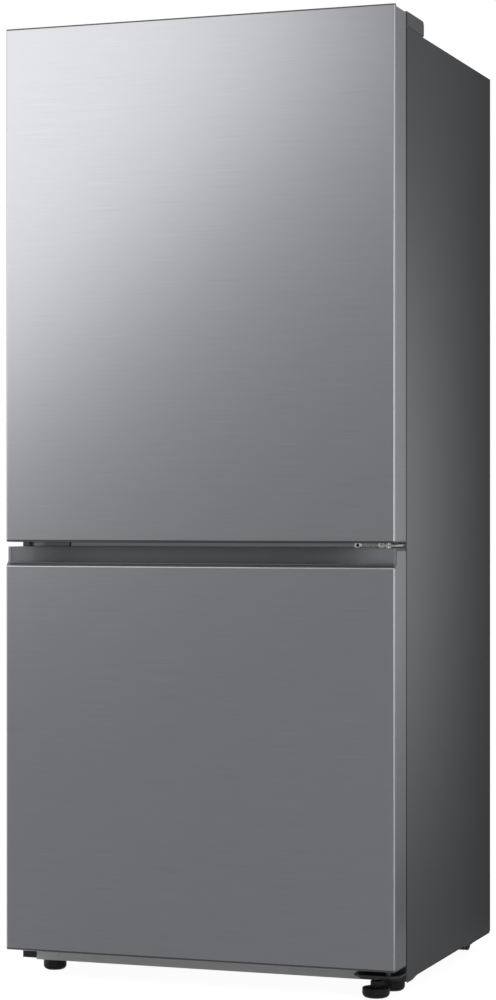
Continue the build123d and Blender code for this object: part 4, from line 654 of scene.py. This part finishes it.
def make_grip():
    """Grip cap of the lower door, whose finger pocket runs straight and curves forward near its ends."""
    node = "lower_door_grip_cap"
    size = sizes()
    low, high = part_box(node)
    start = low.y + POCKET_START
    end = high.x - POCKET_CHEEK
    shape = merged(node)
    steps = range(1 - POCKET_SLICES, POCKET_SLICES)
    slice_at(shape, (1, 0, 0), [end * step / POCKET_SLICES for step in steps])
    for vert in shape.verts:
        solid = POCKET_BOW * (1 - (vert.co.x / end) ** 2)
        if abs(vert.co.y - start - solid) < POCKET_WALL:
            still_to_curve = max(1 - (end - abs(vert.co.x)) / size.pocket_run, 0.0)
            depth = size.pocket * (1 - still_to_curve ** POCKET_POWER)
            bmesh.ops.translate(shape, verts=[vert], vec=(0, depth - solid, 0))
    made = soften(node, "lower_door", "grip_plastic", edges().thin, shape=shape)
    recoat(made, "steel", lambda face: abs(face.center.x) > end and face.normal.y < FORWARD)
    return made


def make_spare_caps():
    """Caps over the unused hinge places. The strip beside the middle one starts light and goes on dark."""
    node = "spare_hinge_caps"
    block_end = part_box(node)[0].x + SPARE_BLOCK
    light_end = block_end + SPARE_LIGHT
    half_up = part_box("mullion_cover")[0].z / 2
    shape = merged(node)
    slice_at(shape, (1, 0, 0), [light_end])
    made = soften(node, "cabinet", "block_plastic", edges().door, shape=shape)
    recoat(made, "mullion_steel", lambda face: face.center.x > block_end)
    recoat(made, "cap_plastic", lambda face: face.center.x > light_end)
    recoat(made, "black_plastic", lambda face: face.center.z < half_up)
    return made


def make_hinge_screws():
    """Screws of the hinges. The sockets of the two that show between the doors are painted black as painted
    shade of their recesses.
    """
    node = "hinge_screws"
    low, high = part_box("mid_hinge")
    middle = (low.z + high.z) / 2
    sockets = [Vector((low.x + place, middle)) for place in SCREW_PLACES]
    made = piece(node + "_socketed", joined(node), "cabinet", "screw_steel", node, bend=1.0)

    def in_painted_shade_socket(face):
        return any((face.center.xz - socket).length < SOCKET_RADIUS for socket in sockets)

    # The black in these two sockets is painted shade of the recesses, not a black part of the screws.
    recoat(made, "black_steel", in_painted_shade_socket)
    return made


# Operators, one for each group of like pieces

class FRIDGE_OT_doors(Operator):
    """Finish the brushed door sheets and their end caps."""

    bl_idname = "fridge.doors"
    bl_label = "Doors"

    def execute(self, context):
        soften("upper_door_top_cap", "upper_door", "grey_plastic", edges().door)
        make_grip()
        for door in ("upper_door", "lower_door"):
            soften(door + "_skin", door, "steel", edges().door)
            dress("block_plastic", door + "_bottom_cap")
            dress("black_plastic", door + "_bushes")
            dress("foam", door + "_insulation")
            soften(door + "_liner", door, "white_liner", edges().door_liner)
        return {"FINISHED"}


class FRIDGE_OT_case(Operator):
    """Finish the painted case, its back and its base."""

    bl_idname = "fridge.case"
    bl_label = "Case"

    def execute(self, context):
        dress("grey_paint", "outer_case")
        dress("mullion_steel", "mullion_cover")
        make_rear_panel()
        dress("zinc_sheet", "machine_cover")
        dress("black_steel", "base_frame")
        dress("foam", "cabinet_insulation")
        soften("kick_plate", "cabinet", "strip_paint", edges().thin)
        make_spare_caps()
        soften("power_inlet", "cabinet", "gasket_rubber", edges().cover)
        return {"FINISHED"}


class FRIDGE_OT_hinges(Operator):
    """Finish the hinges, their screws, the cover on top and the roller brackets."""

    bl_idname = "fridge.hinges"
    bl_label = "Hinges"

    def execute(self, context):
        make_hinge_screws()
        soften("top_hinge", "cabinet", "hinge_steel", edges().sheet)
        soften("mid_hinge", "cabinet", "hinge_steel", edges().sheet)
        soften("bottom_hinge", "cabinet", "black_steel", edges().sheet)
        soften("rear_roller_brackets", "cabinet", "black_steel", edges().sheet)
        soften("top_hinge_cover", "cabinet", "grey_plastic", edges().cover)
        return {"FINISHED"}


class FRIDGE_OT_gaskets(Operator):
    """Make the pleated seals round the doors."""

    bl_idname = "fridge.gaskets"
    bl_label = "Gaskets"

    def execute(self, context):
        for door in ("upper_door", "lower_door"):
            make_gasket(door + "_gasket", door)
        return {"FINISHED"}


class FRIDGE_OT_feet(Operator):
    """Make the levelling feet and the rollers."""

    bl_idname = "fridge.feet"
    bl_label = "Feet and rollers"

    def execute(self, context):
        size = sizes()
        for side in ("left", "right"):
            make_foot(side + "_front_foot", size.foot_height, size.foot_collar, size.foot_rise)
            make_roller(side + "_rear_roller")
        make_foot("hinge_leg_foot", size.leg_height, size.leg_collar, size.leg_rise)
        return {"FINISHED"}


class FRIDGE_OT_inside(Operator):
    """Finish the liners and what is fixed to them."""

    bl_idname = "fridge.inside"
    bl_label = "Inside"

    def execute(self, context):
        for name in ("fridge_liner", "freezer_liner"):
            soften(name, "cabinet", "white_liner", edges().liner, hollow=True)
        for name in ("evaporator_cover", "fridge_air_duct"):
            soften(name, "cabinet", "white_liner", edges().duct)
        for name in ("lower_shelf", "upper_shelf", "crisper_cover"):
            soften(name, "cabinet", "shelf_glass", edges().cover)
        soften("ceiling_lamp", "cabinet", "lamp_lens", edges().lamp)
        soften("shelf_trims", "cabinet", "trim_plastic", edges().trim)
        return {"FINISHED"}


class FRIDGE_OT_trays(Operator):
    """Finish the bins, crispers and freezer drawers."""

    bl_idname = "fridge.trays"
    bl_label = "Bins and drawers"

    def execute(self, context):
        for level in ("lower", "middle", "upper"):
            drawer = level + "_freezer_drawer"
            soften(level + "_door_bin", "upper_door", "clear_plastic", edges().tray)
            soften(drawer, drawer + "_body", "clear_plastic", edges().tray)
        for side in ("left", "right"):
            soften(side + "_crisper", side + "_crisper_body", "clear_plastic", edges().tray)
        return {"FINISHED"}


class FRIDGE_OT_cooling(Operator):
    """Finish the cooling parts."""

    bl_idname = "fridge.cooling"
    bl_label = "Cooling parts"

    def execute(self, context):
        dress("bare_aluminium", "evaporator", "condenser")
        dress("black_iron", "compressor")
        dress("gasket_rubber", "compressor_mounts")
        dress("black_plastic", "condenser_fan_shroud", "condenser_fan")
        dress("black_plastic", "evaporator_fan_motor", "evaporator_fan")
        dress("copper", "refrigerant_pipes")
        return {"FINISHED"}


# Stage

WHITE = (1.0, 1.0, 1.0, 1.0)
FLOOR_COLOUR = (0.92, 0.92, 0.92, 1.0)
CARD_COLOUR = (0.98, 0.985, 1.01, 1.0)
LAMP_COLOUR = (1.0, 0.996, 0.982)

# Floor: half its width, its height, its glow to the eye, and the share of that glow in what is seen
FLOOR_REACH = 60.0
FLOOR_HEIGHT = -0.0005
FLOOR_GLOW = 1.2
FLOOR_SHARE = 0.8

# Round wall of cards: its radius and height, and the bearings at which its tone changes
WALL_RADIUS = 9.0
WALL_HEIGHT = 8.0
LEFT_REAR = -160
LEFT_FRONT = -47
RIGHT_FRONT = 30
RIGHT_REAR = 115
REAR = 180

# Heights of the cards on the ground: the round one, and those on it
GROUND = 0.003
ON_GROUND = 0.005

SENSOR_WIDTH = 36.0


def seen_rays(tree):
    """1 for rays from the camera and for those that metal and glass send on."""
    path = put(tree, "LightPath").outputs
    sent_on = maths(tree, "MAXIMUM", path["Is Glossy Ray"], path["Is Transmission Ray"])
    return maths(tree, "MAXIMUM", path["Is Camera Ray"], sent_on)


def make_room(strength):
    """White all round to the eye and in reflections, with a soft light from everywhere."""
    world = bpy.data.worlds.new("studio")
    bpy.context.scene.world = world
    world.cycles.sampling_method = "NONE"
    world.use_nodes = True
    tree = world.node_tree
    tree.nodes.clear()
    light = put(tree, "Background", {"Color": WHITE, "Strength": strength}).outputs[0]
    white = put(tree, "Background", {"Color": WHITE, "Strength": 1.0}).outputs[0]
    both = put(tree, "MixShader", {0: seen_rays(tree), 1: light, 2: white}).outputs[0]
    put(tree, "OutputWorld", {"Surface": both})


def stage_piece(name, shape):
    """Turns a bmesh into a piece of the stage, and gives the empty node tree of its material with it."""
    mesh = bpy.data.meshes.new(name)
    shape.to_mesh(mesh)
    shape.free()
    made = bpy.data.objects.new(name, mesh)
    bpy.context.scene.collection.objects.link(made)
    material = bpy.data.materials.new(name)
    material.cycles.emission_sampling = "NONE"
    material.use_nodes = True
    material.node_tree.nodes.clear()
    mesh.materials.append(material)
    return made, material.node_tree


def make_floor():
    """Pale floor that takes the object's shadow and looks white."""
    shape = bmesh.new()
    level = Matrix.Translation((0, 0, FLOOR_HEIGHT))
    bmesh.ops.create_grid(shape, x_segments=1, y_segments=1, size=FLOOR_REACH, matrix=level)
    tree = stage_piece("floor", shape)[1]
    soft = put(tree, "BsdfDiffuse", {"Color": FLOOR_COLOUR}).outputs[0]
    white = put(tree, "Emission", {"Color": WHITE, "Strength": FLOOR_GLOW}).outputs[0]
    share = maths(tree, "MULTIPLY", seen_rays(tree), FLOOR_SHARE)
    both = put(tree, "MixShader", {0: share, 1: soft, 2: white}).outputs[0]
    put(tree, "OutputMaterial", {"Surface": both})


def make_card(name, shape, tone):
    """Grey card that only reflections show, as a studio uses to give bright metal its tone."""
    card, tree = stage_piece(name, shape)
    grey = put(tree, "Emission", {"Color": CARD_COLOUR, "Strength": tone}).outputs[0]
    put(tree, "OutputMaterial", {"Surface": grey})
    card.visible_camera = False
    card.visible_diffuse = False
    card.visible_transmission = False
    card.visible_shadow = False


def arc_card(start, end, near=(WALL_RADIUS, 0.0), far=(WALL_RADIUS, WALL_HEIGHT)):
    """Round wall or floor between two bearings in degrees, counted from the front to the right.

    Its edge runs from near to far, each a (radius, height).
    """
    shape = bmesh.new()
    verts = []
    for radius, height in (near, far):
        point = Vector((0, -radius, height))
        point.rotate(Matrix.Rotation(math.radians(start), 3, "Z"))
        verts.append(shape.verts.new(point))
    edge = shape.edges.new(verts)
    sweep = math.radians(end - start)
    bmesh.ops.spin(shape, geom=[*verts, edge], cent=(0, 0, 0), axis=(0, 0, 1), angle=sweep, steps=20)
    return shape


def flat_card(middle, size, tilt=0):
    """Rectangle about a middle point, tilted about the level line from left to right."""
    shape = bmesh.new()
    stand = Matrix.Translation(middle) @ Matrix.Rotation(math.radians(tilt), 4, "X")
    stretch = Matrix.Diagonal((*size, 1, 1))
    bmesh.ops.create_grid(shape, x_segments=1, y_segments=1, size=0.5, matrix=stand @ stretch)
    return shape


def round_card(radius, height):
    """Level disc."""
    shape = bmesh.new()
    level = Matrix.Translation((0, 0, height))
    bmesh.ops.create_circle(shape, cap_ends=True, segments=48, radius=radius, matrix=level)
    return shape


def make_cards():
    """Cards all round, above and on the ground."""
    rear_edge = (WALL_RADIUS, 2.6)
    far_ground = (WALL_RADIUS, ON_GROUND)
    make_card("front_wall", arc_card(LEFT_FRONT, RIGHT_FRONT), tone=0.51)
    make_card("right_front_card", arc_card(13, RIGHT_FRONT, near=(8.8, 0.0), far=(8.8, 2.2)), tone=5.5)
    make_card("rear_wall", arc_card(RIGHT_REAR, REAR, far=rear_edge), tone=0.79)
    make_card("rear_wall_top", arc_card(RIGHT_REAR, REAR, near=rear_edge), tone=0.63)
    make_card("left_wall", arc_card(LEFT_REAR, LEFT_FRONT), tone=1.6)
    make_card("right_wall", arc_card(RIGHT_FRONT, 100), tone=1.9)
    make_card("left_ground", arc_card(LEFT_REAR, LEFT_FRONT, (0.45, ON_GROUND), far_ground), tone=2.0)
    make_card("right_ground", arc_card(35, 85, (0.9, ON_GROUND), far_ground), tone=1.2)
    make_card("top_card", flat_card(middle=(0.0, 0.4, 4.6), size=(3.0, 2.4)), tone=4.0)
    make_card("ground_card", round_card(WALL_RADIUS, GROUND), tone=0.545)
    make_card("rear_ground", flat_card(middle=(1.3, 2.6, ON_GROUND), size=(2.0, 2.4)), tone=0.46)
    make_card("near_rear_ground", flat_card(middle=(1.3, 0.6, ON_GROUND), size=(2.0, 1.6)), tone=0.32)
    make_card("rear_flag", flat_card(middle=(0.475, 0.5, 1.1), size=(0.17, 2.2), tilt=90), tone=0.02)


def make_panel(name, power, size, place, target, spin=0.0):
    """Soft light panel that faces a point, turned by spin in its own plane."""
    data = bpy.data.lights.new(name, "AREA")
    data.energy = power
    data.color = LAMP_COLOUR
    data.shape = "RECTANGLE"
    data.size, data.size_y = size
    lamp = bpy.data.objects.new(name, data)
    lamp.location = place
    aim = (Vector(target) - Vector(place)).to_track_quat("-Z", "Y")
    lamp.rotation_euler = (aim @ Quaternion((0, 0, 1), spin)).to_euler()
    lamp.visible_camera = False
    bpy.context.scene.collection.objects.link(lamp)
    return lamp


def make_lights(stage):
    """Key panel at the upper left, narrow beam along the right side, and a panel overhead."""
    make_panel(
        "key_panel", stage.key, size=(2.346, 1.752), place=(-1.741, -2.473, 2.11), target=(-0.1, -0.3, 1.5),
        spin=stage.spin,
    )
    beam = make_panel(
        "side_panel", stage.side, size=(0.3, 0.9), place=(1.2, -0.55, 0.91), target=(0.38, -0.35, 0.89)
    )
    beam.data.spread = math.radians(75)
    beam.visible_glossy = False
    make_panel("top_panel", stage.top, size=(2.5, 2.5), place=(0.3, -1.2, 4.2), target=(0.0, 0.0, 0.8))


def make_camera(stage):
    """Level camera, so that upright edges stay upright."""
    data = bpy.data.cameras.new("camera")
    data.lens = stage.lens
    data.sensor_width = SENSOR_WIDTH
    data.shift_y = stage.rise
    camera = bpy.data.objects.new("camera", data)
    camera.location = stage.place
    camera.rotation_euler = (math.radians(90), 0.0, stage.turn)
    bpy.context.scene.collection.objects.link(camera)
    bpy.context.scene.camera = camera


class FRIDGE_OT_stage(Operator):
    """Set up the floor, the light and the camera."""

    bl_idname = "fridge.stage"
    bl_label = "Stage"

    def execute(self, context):
        stage = context.scene.fridge_stage
        context.scene.view_settings.view_transform = "Standard"
        make_room(stage.room)
        make_floor()
        make_cards()
        make_lights(stage)
        make_camera(stage)
        return {"FINISHED"}


class FRIDGE_PT_panel(Panel):
    """Lists the steps that dress the refrigerator, and the values that they use."""

    bl_label = "Refrigerator"
    bl_idname = "FRIDGE_PT_panel"
    bl_space_type = "VIEW_3D"
    bl_region_type = "UI"
    bl_category = "Refrigerator"

    def draw(self, context):
        for step in STEPS:
            self.layout.operator(step.bl_idname)
        for label in GROUPS:
            group = getattr(context.scene, label)
            box = self.layout.box()
            for name in group.bl_rna.properties.keys():
                if name not in ("rna_type", "name"):
                    box.prop(group, name)


STEPS = (
    FRIDGE_OT_stage,
    FRIDGE_OT_doors,
    FRIDGE_OT_case,
    FRIDGE_OT_hinges,
    FRIDGE_OT_gaskets,
    FRIDGE_OT_feet,
    FRIDGE_OT_inside,
    FRIDGE_OT_trays,
    FRIDGE_OT_cooling,
)
GROUPS = {
    "fridge_colours": FridgeColours,
    "fridge_sizes": FridgeSizes,
    "fridge_edges": FridgeEdges,
    "fridge_stage": FridgeStage,
}
CLASSES = (*GROUPS.values(), *STEPS, FRIDGE_PT_panel)


def register():
    for kind in CLASSES:
        bpy.utils.register_class(kind)
    for name, kind in GROUPS.items():
        setattr(bpy.types.Scene, name, PointerProperty(type=kind))


def unregister():
    for name in GROUPS:
        delattr(bpy.types.Scene, name)
    for kind in reversed(CLASSES):
        bpy.utils.unregister_class(kind)


def main():
    register()
    for step in STEPS:
        area, name = step.bl_idname.split(".")
        getattr(getattr(bpy.ops, area), name)()


if __name__ == "__main__":
    main()
